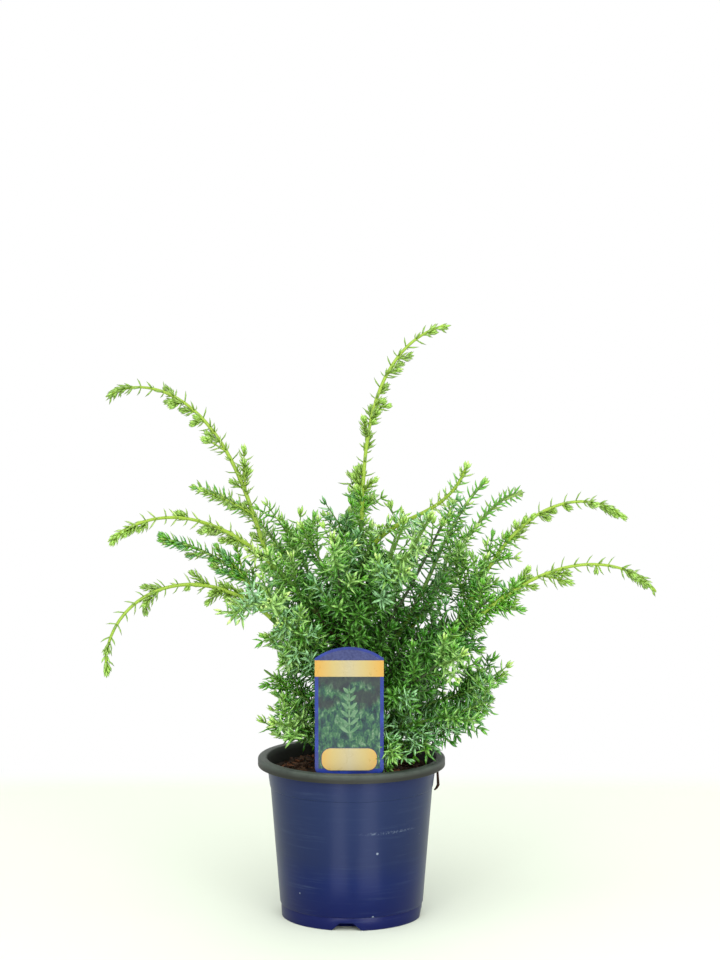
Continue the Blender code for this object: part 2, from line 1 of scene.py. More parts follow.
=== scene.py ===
"""A potted flaky juniper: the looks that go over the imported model.

The file follows the plant as it is put together: the pot, its compost, the picture label, the trunk and
its boughs, the twigs that grow on from them, and the needles on every twig.
"""

import json
import math
import random

import bmesh
import bpy
import numpy as np
from mathutils import Matrix, Vector, noise

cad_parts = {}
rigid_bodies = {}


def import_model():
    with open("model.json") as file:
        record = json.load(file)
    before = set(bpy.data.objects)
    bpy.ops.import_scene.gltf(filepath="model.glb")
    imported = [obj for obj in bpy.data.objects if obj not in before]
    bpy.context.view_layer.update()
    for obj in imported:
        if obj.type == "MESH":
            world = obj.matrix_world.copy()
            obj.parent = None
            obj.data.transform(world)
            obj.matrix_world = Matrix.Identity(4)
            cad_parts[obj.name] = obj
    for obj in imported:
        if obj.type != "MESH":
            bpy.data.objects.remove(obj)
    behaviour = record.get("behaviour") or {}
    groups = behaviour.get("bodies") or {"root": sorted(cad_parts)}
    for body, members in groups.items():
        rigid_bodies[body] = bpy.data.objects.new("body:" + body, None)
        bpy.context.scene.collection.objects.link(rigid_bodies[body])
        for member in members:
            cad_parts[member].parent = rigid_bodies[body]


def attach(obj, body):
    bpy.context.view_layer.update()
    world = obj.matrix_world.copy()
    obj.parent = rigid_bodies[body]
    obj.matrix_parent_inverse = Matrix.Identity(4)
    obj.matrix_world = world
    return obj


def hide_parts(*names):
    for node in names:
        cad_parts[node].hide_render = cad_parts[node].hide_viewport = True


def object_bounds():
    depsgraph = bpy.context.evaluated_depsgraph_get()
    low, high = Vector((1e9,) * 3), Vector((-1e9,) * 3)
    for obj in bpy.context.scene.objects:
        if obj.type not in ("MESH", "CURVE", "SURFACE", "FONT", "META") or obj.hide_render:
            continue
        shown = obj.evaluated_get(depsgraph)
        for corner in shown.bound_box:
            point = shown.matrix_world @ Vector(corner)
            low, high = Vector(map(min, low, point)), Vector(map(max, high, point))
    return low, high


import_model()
cad_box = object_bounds()


# Camera, light and floor
# A long lens looks a little down on the pot from the front. A white room lights the plant evenly, with a
# large soft light above, and two tall panels close by draw the pale stripes down the pot's gloss.

def colour(red, green, blue):
    """Display values from 0 to 255 as the linear colour that a shader takes."""
    shares = [value / 255 for value in (red, green, blue)]
    linear = [share / 12.92 if share <= 0.04045 else ((share + 0.055) / 1.055) ** 2.4 for share in shares]
    return (*linear, 1.0)


def add_node(tree, kind, inputs=None, **settings):
    """A node with its settings, and each named input joined to an output or given a value."""
    made = tree.nodes.new(kind)
    for name, value in settings.items():
        setattr(made, name, value)
    for name, value in (inputs or {}).items():
        if isinstance(value, bpy.types.NodeSocket):
            tree.links.new(value, made.inputs[name])
        else:
            made.inputs[name].default_value = value
    return made


bpy.context.scene.view_settings.view_transform = "Standard"

FOCAL_LENGTH = 117.66
CAMERA_PLACE = (0.0077, -2.8, 0.7343)
LOOKS_DOWN = 6.84
lens = bpy.data.cameras.new("camera")
lens.lens = FOCAL_LENGTH
lens.clip_end = 60
camera = bpy.data.objects.new("camera", lens)
camera.location = CAMERA_PLACE
camera.rotation_euler = (math.radians(90 - LOOKS_DOWN), 0, 0)
bpy.context.scene.collection.objects.link(camera)
bpy.context.scene.camera = camera

WHITE = (1, 1, 1, 1)
ROOM_LIGHT = 0.92
room = bpy.data.worlds.new("white_room")
room.use_nodes = True
bpy.context.scene.world = room
room.node_tree.nodes.clear()
lit = add_node(room.node_tree, "ShaderNodeBackground", {"Color": WHITE, "Strength": ROOM_LIGHT})
seen = add_node(room.node_tree, "ShaderNodeBackground", {"Color": WHITE, "Strength": 1.0})
path = add_node(room.node_tree, "ShaderNodeLightPath")
either = add_node(
    room.node_tree, "ShaderNodeMixShader",
    {0: path.outputs["Is Camera Ray"], 1: lit.outputs[0], 2: seen.outputs[0]})
add_node(room.node_tree, "ShaderNodeOutputWorld", {"Surface": either.outputs[0]})

LIGHTS = {  # heading from the camera's, height, distance, width, length, watts
    "overhead": (-6, 60, 2.4, 2.6, 2.2, 36),
    "left_strip": (-21, 6, 2.0, 0.16, 1.5, 7),
    "right_strip": (29, 6, 2.0, 0.62, 1.5, 16),
    "back_fill": (165, 45, 2.4, 1.8, 1.6, 12),
    "front_fill": (-4, 22, 2.8, 2.4, 1.8, 26),
    "left_gloss": (-13.5, -41, 0.2055, 0.036, 0.16, 0.058),
    "right_gloss": (20, -41, 0.2055, 0.048, 0.16, 0.076),
}
AIM = Vector((0.0, 0.0, 0.20))
for name, (heading, height, distance, width, length, watts) in LIGHTS.items():
    lamp = bpy.data.lights.new(name, "AREA")
    lamp.shape = "RECTANGLE"
    lamp.size = width
    lamp.size_y = length
    lamp.energy = watts
    holder = bpy.data.objects.new(name, lamp)
    turn, rise = math.radians(heading), math.radians(height)
    back = Vector((math.sin(turn) * math.cos(rise), -math.cos(turn) * math.cos(rise), math.sin(rise)))
    holder.location = AIM + distance * back
    holder.rotation_euler = back.to_track_quat("Z", "Y").to_euler()
    holder.visible_camera = False
    holder.visible_glossy = name != "front_fill"
    holder.visible_diffuse = not name.endswith("gloss")
    bpy.context.scene.collection.objects.link(holder)


def place(name, mesh, *finishes):
    """A piece of the plant or the room, from its mesh and its materials."""
    piece = bpy.data.objects.new(name, mesh)
    bpy.context.scene.collection.objects.link(piece)
    for finish in finishes:
        mesh.materials.append(finish)
    return piece


def new_finish(name, roughness):
    """A material, its node tree and its shader."""
    finish = bpy.data.materials.new(name)
    finish.use_nodes = True
    shader = finish.node_tree.nodes["Principled BSDF"]
    shader.inputs["Roughness"].default_value = roughness
    return finish, finish.node_tree, shader


def maths(tree, operation, first, second=0.0, third=0.0, clamp=False):
    inputs = {0: first, 1: second, 2: third}
    return add_node(tree, "ShaderNodeMath", inputs, operation=operation, use_clamp=clamp).outputs[0]


def ramp(tree, factor, stops):
    """A colour or a mask that runs through the stops, each a place from 0 to 1 and a colour."""
    made = add_node(tree, "ShaderNodeValToRGB", {"Fac": factor})
    band = made.color_ramp.elements
    while len(band) < len(stops):
        band.new(0.5)
    for element, (at_place, shade) in zip(band, stops):
        element.position = at_place
        element.color = shade if isinstance(shade, tuple) else (shade, shade, shade, 1.0)
    return made.outputs["Color"]


def mix(tree, factor, first, second):
    made = add_node(tree, "ShaderNodeMix", {0: factor}, data_type="RGBA")
    for socket, value in ((made.inputs[6], first), (made.inputs[7], second)):
        if isinstance(value, bpy.types.NodeSocket):
            tree.links.new(value, socket)
        else:
            socket.default_value = value
    return made.outputs[2]


def split_place(tree):
    """Object coordinates, whole and as x, y and z."""
    where = add_node(tree, "ShaderNodeTexCoord").outputs["Object"]
    parts = add_node(tree, "ShaderNodeSeparateXYZ", {0: where})
    return where, *parts.outputs


def mottle(tree, where, scale, detail, roughness=0.5, distortion=0.0):
    """Cloudy values from 0 to 1, whose lumps shrink as the scale grows."""
    inputs = {
        "Vector": where, "Scale": scale, "Detail": detail, "Roughness": roughness, "Distortion": distortion}
    return add_node(tree, "ShaderNodeTexNoise", inputs).outputs[0]


def stretch(tree, where, scale):
    return add_node(tree, "ShaderNodeMapping", {"Vector": where, "Scale": scale}).outputs[0]


def paint(tree, shader, shade):
    tree.links.new(shade, shader.inputs["Base Color"])


def emboss(tree, shader, height, strength, distance):
    """Fine relief over the surface, from a map of heights."""
    bump = add_node(tree, "ShaderNodeBump", {"Strength": strength, "Distance": distance, "Height": height})
    tree.links.new(bump.outputs[0], shader.inputs["Normal"])


FLOOR_LINE = 0.57  # how far from the plant the floor begins to fade into the wall
FLOOR_FADE = (FLOOR_LINE - 0.06, FLOOR_LINE + 0.05)
FLOOR_CORNERS = 6.0  # the fade runs round a rounded square, and more makes its corners tighter
floor_mesh = bpy.data.meshes.new("floor")
body = bmesh.new()
bmesh.ops.create_grid(body, x_segments=1, y_segments=1, size=12.0)
body.to_mesh(floor_mesh)
body.free()
floor_finish, tree, shader = new_finish("floor_paper", 0.9)
where, x, y, z = split_place(tree)
bent = [maths(tree, "POWER", maths(tree, "ABSOLUTE", axis), FLOOR_CORNERS) for axis in (x, y)]
reach = maths(tree, "POWER", maths(tree, "ADD", *bent), 1 / FLOOR_CORNERS)
far = add_node(
    tree, "ShaderNodeMapRange", {"Value": reach, "From Min": FLOOR_FADE[0], "From Max": FLOOR_FADE[1]},
    interpolation_type="SMOOTHSTEP")
shader.inputs["Base Color"].default_value = colour(214, 221, 206)
shader.inputs["Specular IOR Level"].default_value = 0.2
glow = add_node(tree, "ShaderNodeEmission", {"Color": WHITE, "Strength": 1.0})
either = add_node(
    tree, "ShaderNodeMixShader", {0: far.outputs[0], 1: shader.outputs[0], 2: glow.outputs[0]})
tree.links.new(either.outputs[0], tree.nodes["Material Output"].inputs["Surface"])
place("floor", floor_mesh, floor_finish)


# The pot
# A 17 cm nursery pot, drawn from sheet that is blue outside and black inside, so the rolled rim shows the
# black side. It has a fine ledge under the neck, a foot ring with four drain notches, and drain holes.

POT_HEIGHT = 0.1463
POT_STEPS = 144
RIM_RADIUS = 0.085
RIM_HEIGHT = 0.0080
RIM_SKIN = 0.0014
RIM_ROUND = 0.0013
WALL = 0.0016
NECK_RADIUS = 0.0766
LEDGE_HEIGHT = 0.1192
LEDGE_RADIUS = 0.0736
LEDGE_STEP = 0.0005
BODY_FOOT_RADIUS = 0.0650
FOOT_RING_RADIUS = 0.0642
FOOT_RING_HEIGHT = 0.0120
CHANNEL_HEIGHT = 0.0080
BOSS_RADIUS = 0.0468
NOTCHES = 4
FIRST_NOTCH = 266
NOTCH_WIDTH = 0.027
NOTCH_TOP_WIDTH = 0.012
NOTCH_HEIGHT = 0.007
NOTCH_CUT = 0.008
HOLE_RADIUS = 0.004


def spun(profile, steps):
    """A closed solid of revolution about Z, from a profile of radius and height that ends on the axis."""
    body = bmesh.new()
    verts = [body.verts.new((radius, 0.0, height)) for radius, height in profile]
    edges = [body.edges.new(pair) for pair in zip(verts, verts[1:])]
    bmesh.ops.spin(
        body, geom=verts + edges, cent=(0, 0, 0), axis=(0, 0, 1), angle=2 * math.pi, steps=steps,
        use_merge=True)
    bmesh.ops.remove_doubles(body, verts=body.verts, dist=0.00001)
    bmesh.ops.recalc_face_normals(body, faces=body.faces)
    return body


def to_mesh(name, body):
    mesh = bpy.data.meshes.new(name)
    body.to_mesh(mesh)
    body.free()
    return mesh


def push_out(body, faces, way):
    """Give flat faces a thickness, by drawing them out the given way."""
    pushed = bmesh.ops.extrude_face_region(body, geom=faces)["geom"]
    verts = [item for item in pushed if isinstance(item, bmesh.types.BMVert)]
    bmesh.ops.translate(body, vec=way, verts=verts)


def corner(radius, height, size, start, end, steps=4):
    """Points of a rounded corner of a profile, between two angles."""
    turns = [math.radians(start + (end - start) * k / steps) for k in range(steps + 1)]
    return [(radius + size * math.cos(turn), height + size * math.sin(turn)) for turn in turns]


def settle(piece):
    """Give the piece its evaluated mesh and drop its modifiers."""
    bpy.context.view_layer.update()
    seen = piece.evaluated_get(bpy.context.evaluated_depsgraph_get())
    mesh = bpy.data.meshes.new_from_object(seen)
    piece.modifiers.clear()
    piece.data = mesh


def new_group(name, *values):
    """A node group that takes a place and the named values and gives a mask, and its inputs."""
    group = bpy.data.node_groups.new(name, "ShaderNodeTree")
    group.interface.new_socket("Vector", in_out="INPUT", socket_type="NodeSocketVector")
    for value in values:
        group.interface.new_socket(value, in_out="INPUT", socket_type="NodeSocketFloat")
    group.interface.new_socket("Mask", in_out="OUTPUT", socket_type="NodeSocketFloat")
    return group, add_node(group, "NodeGroupInput").outputs


def speckle_group():
    """Small round specks of dirt or dust, strewn sparsely over the surface."""
    group, given = new_group("speckle", "Scale", "Share", "Size")
    cells = add_node(group, "ShaderNodeTexVoronoi", {"Vector": given["Vector"], "Scale": given["Scale"]})
    parts = add_node(group, "ShaderNodeSeparateColor", {0: cells.outputs["Color"]})
    chosen = maths(group, "LESS_THAN", parts.outputs[0], given["Share"])
    size = maths(group, "MULTIPLY", parts.outputs[1], given["Size"])
    near = maths(group, "LESS_THAN", cells.outputs["Distance"], size)
    add_node(group, "NodeGroupOutput", {"Mask": maths(group, "MULTIPLY", chosen, near)})
    return group


def scuff_group():
    """Fine rubbed streaks that run level round a surface, patchy and faint."""
    group, given = new_group("scuff", "Fineness")
    squashed = stretch(group, given["Vector"], (14.0, 14.0, 420.0))
    streaks = mottle(group, squashed, given["Fineness"], 6.0, 0.65)
    patches = mottle(group, given["Vector"], 30.0, 3.0)
    lines = ramp(group, streaks, [(0.52, 0.0), (0.74, 1.0)])
    spread = ramp(group, patches, [(0.38, 0.0), (0.72, 1.0)])
    add_node(group, "NodeGroupOutput", {"Mask": maths(group, "MULTIPLY", lines, spread)})
    return group


speckle = speckle_group()
scuff = scuff_group()


def masked(tree, group, where, **values):
    """The mask that a node group gives for its values."""
    return add_node(tree, "ShaderNodeGroup", {"Vector": where, **values}, node_tree=group).outputs[0]


pot_finish, tree, shader = new_finish("pot_blue_plastic", 0.30)
where, x, y, z = split_place(tree)
height = maths(tree, "DIVIDE", z, POT_HEIGHT)
shift = maths(tree, "MULTIPLY_ADD", mottle(tree, where, 22.0, 5.0, 0.6), 0.16, -0.08)
worn = ramp(tree, maths(tree, "ADD", height, shift), [
    (0.00, colour(10, 17, 70)),
    (0.30, colour(10, 26, 76)),
    (0.43, colour(22, 34, 72)),
    (0.80, colour(27, 40, 75)),
    (1.00, colour(31, 40, 82)),
])
streak = masked(tree, scuff, where, Fineness=1.0)
worn = mix(tree, maths(tree, "MULTIPLY", streak, 0.28), worn, colour(78, 94, 118))
specks = masked(tree, speckle, where, Scale=260.0, Share=0.010, Size=0.30)
worn = mix(tree, specks, worn, colour(120, 130, 146))
# One longer rub across the front right of the body, where the pot has dragged against another
RUB_ACROSS = 0.032
RUB_UP = 0.0895
RUB_HALF_LENGTH = 0.027
RUB_HALF_HEIGHT = 0.0017
along_rub = maths(tree, "DIVIDE", maths(tree, "SUBTRACT", x, RUB_ACROSS), RUB_HALF_LENGTH)
up_rub = maths(tree, "DIVIDE", maths(tree, "SUBTRACT", z, RUB_UP), RUB_HALF_HEIGHT)
blunt = maths(tree, "POWER", maths(tree, "ABSOLUTE", along_rub), 4.0)
span = maths(tree, "ADD", blunt, maths(tree, "MULTIPLY", up_rub, up_rub))
in_front = maths(tree, "LESS_THAN", y, 0.0)
inside = maths(tree, "MULTIPLY", maths(tree, "SUBTRACT", 1.0, span, clamp=True), in_front)
grain = ramp(tree, mottle(tree, where, 620.0, 4.0), [(0.48, 0.0), (0.70, 0.40)])
worn = mix(tree, maths(tree, "MULTIPLY", inside, grain), worn, colour(126, 140, 158))
paint(tree, shader, worn)
shader.inputs["Specular IOR Level"].default_value = 0.14
tree.links.new(maths(tree, "MULTIPLY_ADD", streak, 0.08, 0.34), shader.inputs["Roughness"])
emboss(tree, shader, mottle(tree, where, 900.0, 3.0), 0.10, 0.0004)

rim_finish, tree, shader = new_finish("pot_black_plastic", 0.55)
where, x, y, z = split_place(tree)
streak = masked(tree, scuff, where, Fineness=0.6)
dirt = mottle(tree, where, 70.0, 6.0, 0.7)
shade = ramp(tree, dirt, [(0.30, colour(44, 51, 46)), (0.70, colour(70, 79, 71))])
shade = mix(tree, maths(tree, "MULTIPLY", streak, 0.5), shade, colour(104, 110, 102))
specks = masked(tree, speckle, where, Scale=300.0, Share=0.05, Size=0.36)
shade = mix(tree, specks, shade, colour(58, 42, 30))
# Painted shade: the inside of the pot below the rim turns near black, over the depth given here
INSIDE_SHADE_DEPTH = 0.012
above = maths(tree, "DIVIDE", maths(tree, "SUBTRACT", z, POT_HEIGHT - INSIDE_SHADE_DEPTH), INSIDE_SHADE_DEPTH)
shade = mix(tree, ramp(tree, above, [(0.55, 0.0), (0.92, 1.0)]), colour(22, 24, 18), shade)
paint(tree, shader, shade)
shader.inputs["Specular IOR Level"].default_value = 0.35
tree.links.new(maths(tree, "MULTIPLY_ADD", dirt, 0.3, 0.40), shader.inputs["Roughness"])
emboss(tree, shader, dirt, 0.2, 0.0004)

rim_foot = POT_HEIGHT - RIM_HEIGHT
inner_neck = NECK_RADIUS - WALL
pot_profile = [
    (0.0, WALL),
    (BOSS_RADIUS - WALL, WALL),
    (BOSS_RADIUS, CHANNEL_HEIGHT + WALL),
    (BODY_FOOT_RADIUS - 3 * WALL, CHANNEL_HEIGHT + WALL),
    (BODY_FOOT_RADIUS - WALL, FOOT_RING_HEIGHT + WALL),
    (LEDGE_RADIUS - WALL, LEDGE_HEIGHT),
    (inner_neck, rim_foot),
    *corner(inner_neck + 0.0018 + RIM_ROUND, POT_HEIGHT - RIM_ROUND, RIM_ROUND, 180, 90),
    *corner(RIM_RADIUS - 0.0022, POT_HEIGHT - 0.0022, 0.0022, 90, 0, 6),
    *corner(RIM_RADIUS - 0.0007, rim_foot + 0.0007, 0.0007, 0, -180),
    (RIM_RADIUS - RIM_SKIN - 0.0003, POT_HEIGHT - RIM_SKIN - 0.0015),
    (RIM_RADIUS - RIM_SKIN - 0.0015, POT_HEIGHT - RIM_SKIN),
    (NECK_RADIUS + 0.0015, POT_HEIGHT - RIM_SKIN),
    (NECK_RADIUS + 0.0004, POT_HEIGHT - RIM_SKIN - 0.0010),
    (NECK_RADIUS, rim_foot),
    (LEDGE_RADIUS + LEDGE_STEP + 0.0002, LEDGE_HEIGHT + 0.0014),
    (LEDGE_RADIUS + LEDGE_STEP, LEDGE_HEIGHT + 0.0004),
    (LEDGE_RADIUS, LEDGE_HEIGHT),
    (BODY_FOOT_RADIUS + 0.0002, FOOT_RING_HEIGHT + 0.0010),
    (BODY_FOOT_RADIUS - 0.0003, FOOT_RING_HEIGHT),
    (FOOT_RING_RADIUS - 0.0003, FOOT_RING_HEIGHT - 0.0004),
    (FOOT_RING_RADIUS, FOOT_RING_HEIGHT - 0.0010),
    *corner(FOOT_RING_RADIUS - 0.0009, 0.0006, 0.0006, 0, -90, 3),
    (FOOT_RING_RADIUS - WALL, 0.0),
    (FOOT_RING_RADIUS - WALL - 0.0004, CHANNEL_HEIGHT),
    (BOSS_RADIUS + WALL, CHANNEL_HEIGHT),
    (BOSS_RADIUS, 0.0),
    (0.0, 0.0),
]
pot = place("pot_shell", to_mesh("pot_shell", spun(pot_profile, POT_STEPS)), pot_finish, rim_finish)
cutters = bpy.data.collections.new("cutters")
bpy.context.scene.collection.children.link(cutters)
for k in range(NOTCHES):
    heading = math.radians(FIRST_NOTCH + 360 / NOTCHES * k)
    way = Vector((math.cos(heading), math.sin(heading), 0))
    half, half_top = NOTCH_WIDTH / 2, NOTCH_TOP_WIDTH / 2
    right = [(half, -WALL), (half, 0.0), (half_top, NOTCH_HEIGHT)]
    outline = right + [(-across, up) for across, up in reversed(right)]
    body = bmesh.new()
    face = body.faces.new([body.verts.new((across, up, -NOTCH_CUT / 2)) for across, up in outline])
    push_out(body, [face], (0, 0, NOTCH_CUT))
    stand = Matrix.Rotation(heading + math.pi / 2, 4, "Z") @ Matrix.Rotation(math.pi / 2, 4, "X")
    bmesh.ops.transform(body, matrix=Matrix.Translation(way * FOOT_RING_RADIUS) @ stand, verts=body.verts)
    middle = way * (BOSS_RADIUS + FOOT_RING_RADIUS) / 2
    middle.z = CHANNEL_HEIGHT + WALL / 2
    bmesh.ops.create_cone(
        body, cap_ends=True, segments=24, radius1=HOLE_RADIUS, radius2=HOLE_RADIUS, depth=3 * WALL,
        matrix=Matrix.Translation(middle))
    bmesh.ops.recalc_face_normals(body, faces=body.faces)
    cutter = bpy.data.objects.new(f"notch_{k}", to_mesh(f"notch_{k}", body))
    cutters.objects.link(cutter)
cut = pot.modifiers.new("notches", "BOOLEAN")
cut.operand_type = "COLLECTION"
cut.collection = cutters
cut.operation = "DIFFERENCE"
cut.solver = "EXACT"
soften = pot.modifiers.new("soften", "BEVEL")
soften.width = 0.00025
soften.segments = 2
soften.limit_method = "ANGLE"
soften.angle_limit = math.radians(50)
settle(pot)
for cutter in list(cutters.objects):
    bpy.data.objects.remove(cutter, do_unlink=True)
bpy.data.collections.remove(cutters)
for face in pot.data.polygons:
    radius = math.hypot(face.center.x, face.center.y)
    inward = face.normal.x * face.center.x + face.normal.y * face.center.y < -0.3 * radius
    face.material_index = int(face.center.z > rim_foot - 0.0002 and radius > NECK_RADIUS - 2 * WALL or inward)
pot.data.shade_smooth()
pot.data.set_sharp_from_angle(angle=math.radians(32))
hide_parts("pot")
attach(pot, "root")


# The compost
# Dark bark compost fills the pot to a finger's width under the rim. Its top is a loose crumb with shreds
# and chips of bark lying in it, a few of them red-brown.

SOIL_TOP = 0.134
SOIL_RADIUS = 0.0736
SOIL_RINGS = 34
SOIL_SKIRT = 0.012
CRUMB = 0.0016
HEAP_X = -0.018
HEAP_HEIGHT = 0.0022
HEAP_SPREAD = 0.0012
CHIPS = 900
CHIP_LENGTHS = (0.0025, 0.0040, 0.0060, 0.0095)
CHIP_SHARES = (6, 3, 1)  # how many are dark, brown and red
CUBE_FACES = 6
SOIL_SEED = 5


def soil_height(x, y):
    """The height of the compost's loose top, which heaps a little towards the stem."""
    lumps = noise.noise(Vector((x, y, 0.0)) * 70) * CRUMB
    lumps += noise.noise(Vector((x, y, 3.0)) * 190) * CRUMB * 0.8
    fine = noise.noise(Vector((x, y, 7.0)) * 430) * CRUMB * 0.4
    heap = HEAP_HEIGHT * math.exp(-((x - HEAP_X) ** 2 + y * y) / HEAP_SPREAD)
    return SOIL_TOP - 0.0010 + lumps + fine + heap


def soil_finish(name, dark, light, scale):
    """A rough crumbly surface between two colours."""
    finish, tree, shader = new_finish(name, 0.92)
    where = add_node(tree, "ShaderNodeTexCoord").outputs["Object"]
    crumbs = mottle(tree, where, scale, 8.0, 0.7)
    paint(tree, shader, ramp(tree, crumbs, [(0.32, dark), (0.72, light)]))
    emboss(tree, shader, crumbs, 0.7, 0.0008)
    shader.inputs["Specular IOR Level"].default_value = 0.25
    return finish


compost_finish = soil_finish("compost_crumb", colour(20, 13, 9), colour(66, 46, 32), 420.0)
chip_finishes = [
    soil_finish("bark_chip_dark", colour(26, 17, 12), colour(70, 46, 32), 260.0),
    soil_finish("bark_chip_brown", colour(48, 34, 22), colour(98, 72, 50), 260.0),
    soil_finish("bark_chip_red", colour(72, 42, 26), colour(134, 88, 58), 260.0),
]
soil_profile = [(SOIL_RADIUS * k / SOIL_RINGS, SOIL_TOP) for k in range(SOIL_RINGS + 1)]
soil_profile += [(SOIL_RADIUS - 0.0006, SOIL_TOP - SOIL_SKIRT), (0.0, SOIL_TOP - SOIL_SKIRT)]
body = spun(soil_profile, 120)
for vert in body.verts:
    if vert.co.z > SOIL_TOP - 0.001:
        vert.co.z = soil_height(vert.co.x, vert.co.y)
compost = place("compost_top", to_mesh("compost_top", body), compost_finish)
compost.data.shade_smooth()
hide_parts("compost")
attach(compost, "root")

chance = random.Random(SOIL_SEED)
body = bmesh.new()
kinds = []
for _ in range(CHIPS):
    out = math.sqrt(chance.random()) * (SOIL_RADIUS - 0.004)
    heading = chance.uniform(0, 2 * math.pi)
    x, y = out * math.cos(heading), out * math.sin(heading)
    length = chance.choice(CHIP_LENGTHS) * chance.uniform(0.8, 1.3)
    size = Matrix.Diagonal((length, length * chance.uniform(0.2, 0.5), chance.uniform(0.0006, 0.0016), 1.0))
    tilt = Matrix.Rotation(chance.gauss(0, 0.30), 4, "X") @ Matrix.Rotation(chance.gauss(0, 0.22), 4, "Y")
    turn = Matrix.Rotation(chance.uniform(0, 2 * math.pi), 4, "Z")
    lift = Matrix.Translation((x, y, soil_height(x, y) + 0.0005))
    made = bmesh.ops.create_cube(body, size=1.0)["verts"]
    for vert in made:
        vert.co = vert.co + Vector([chance.uniform(-0.2, 0.2) for _ in range(3)])
    bmesh.ops.transform(body, matrix=lift @ turn @ tilt @ size, verts=made)
    kinds += chance.choices((0, 1, 2), CHIP_SHARES) * CUBE_FACES
chips = place("bark_chips", to_mesh("bark_chips", body), *chip_finishes)
chips.data.polygons.foreach_set("material_index", kinds)
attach(chips, "root")


# The picture label
# An arched plastic card on a stake, printed blue with a band, a leafy picture and a plate. The print is
# plain shapes of ink a hair proud of the card, and no word stands on it.

LABEL_X = -0.0018
LABEL_Y = -0.0680
LABEL_WIDTH = 0.0610
LABEL_THICKNESS = 0.0008
LABEL_FOOT = 0.1440
LABEL_SHOULDER = 0.2480
LABEL_TOP = 0.2582
LABEL_CORNER = 0.0055
STAKE_WIDTH = 0.014
STAKE_FOOT = 0.088
BORDER = 0.0030
BAND_FOOT = 0.2316
BAND_TOP = 0.2462
PICTURE_FOOT = 0.1490
PLATE = (0.0245, 0.1474, 0.1672)  # half width, foot and top
PLATE_CORNER = 0.0080
PLATE_LINE = 0.0007
INK = 0.00006


def arch(half, shoulder, top, steps=16):
    """Half of a low arched top, from the right shoulder towards the middle."""
    rise = top - shoulder
    radius = (half * half + rise * rise) / (2 * rise)
    turns = [math.asin(half / radius) * (1 - k / steps) for k in range(steps)]
    return [(radius * math.sin(turn), top - radius * (1 - math.cos(turn))) for turn in turns]


def rounded(half, low, high, size, steps=6):
    """The right half of a rounded rectangle, from the foot upwards."""
    lower = corner(half - size, low + size, size, -90, 0, steps)
    return lower + corner(half - size, high - size, size, 0, 90, steps)


def card(name, right, front, thickness, finish):
    """A flat upright piece, from the right half of its outline, whose front face lies at the given Y."""
    outline = right + [(-across, up) for across, up in reversed(right) if across > 0]
    body = bmesh.new()
    face = body.faces.new([body.verts.new((LABEL_X + across, front, up)) for across, up in outline])
    push_out(body, [face], (0, thickness, 0))
    bmesh.ops.recalc_face_normals(body, faces=body.faces)
    piece = place(name, to_mesh(name, body), finish)
    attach(piece, "root")
    return piece


def print_finish(name, build):
    """Glossy print, whose colour comes from a function of the tree and the place on the card."""
    finish, tree, shader = new_finish(name, 0.30)
    where, x, y, z = split_place(tree)
    paint(tree, shader, build(tree, where, x, z))
    gloss = mottle(tree, where, 90.0, 4.0)
    tree.links.new(ramp(tree, gloss, [(0.3, 0.24), (0.7, 0.40)]), shader.inputs["Roughness"])
    emboss(tree, shader, gloss, 0.06, 0.001)
    return finish


def plain_print(name, scale, dark, light):
    """Flat ink, a little worn."""
    finish, tree, shader = new_finish(name, 0.35)
    where = add_node(tree, "ShaderNodeTexCoord").outputs["Object"]
    paint(tree, shader, ramp(tree, mottle(tree, where, scale, 3.0), [(0.3, dark), (0.7, light)]))
    return finish


def blue_card(tree, where, x, z):
    cloud = mottle(tree, where, 60.0, 4.0)
    return ramp(tree, cloud, [(0.35, colour(16, 34, 104)), (0.65, colour(28, 50, 132))])


def violet_field(tree, where, x, z):
    grain = mottle(tree, where, 500.0, 3.0)
    return ramp(tree, grain, [(0.3, colour(30, 38, 84)), (0.7, colour(56, 64, 108))])


def cream_print(tree, where, x, z):
    across = maths(tree, "ABSOLUTE", maths(tree, "SUBTRACT", x, LABEL_X))
    return ramp(tree, maths(tree, "DIVIDE", across, LABEL_WIDTH / 2), [
        (0.0, colour(166, 156, 122)), (0.45, colour(172, 154, 98)), (0.9, colour(182, 142, 62))])


def leafy_picture(tree, where, x, z):
    """A blurred mass of leaves, darker towards the top."""
    leaves = mottle(tree, stretch(tree, where, (1.0, 1.0, 0.55)), 240.0, 6.0, 0.75, 0.5)
    leaf = ramp(tree, leaves, [
        (0.34, colour(14, 30, 40)), (0.45, colour(24, 56, 56)), (0.55, colour(50, 94, 60)),
        (0.66, colour(108, 132, 108))])
    share = maths(tree, "DIVIDE", maths(tree, "SUBTRACT", z, PICTURE_FOOT), BAND_FOOT - PICTURE_FOOT)
    lifted = maths(tree, "MULTIPLY", maths(tree, "ADD", share, mottle(tree, where, 48.0, 3.0)), 0.5)
    return mix(tree, ramp(tree, lifted, [(0.60, 0.0), (0.66, 0.85)]), leaf, colour(38, 42, 46))


half = LABEL_WIDTH / 2
front = LABEL_Y - LABEL_THICKNESS / 2
card_finish = print_finish("label_blue_print", blue_card)
band_finish = print_finish("label_cream_print", cream_print)
card_outline = [(STAKE_WIDTH / 2 - 0.002, STAKE_FOOT), (STAKE_WIDTH / 2, STAKE_FOOT + 0.002)]
card_outline += [(STAKE_WIDTH / 2, LABEL_FOOT)]
card_outline += corner(half - LABEL_CORNER, LABEL_FOOT + LABEL_CORNER, LABEL_CORNER, -90, 0, 6)
card_outline += arch(half, LABEL_SHOULDER, LABEL_TOP) + [(0.0, LABEL_TOP)]
label = card("label_card", card_outline, front, LABEL_THICKNESS, card_finish)
edge = label.modifiers.new("edge", "BEVEL")
edge.width = 0.00015
edge.segments = 2
settle(label)
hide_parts("label")

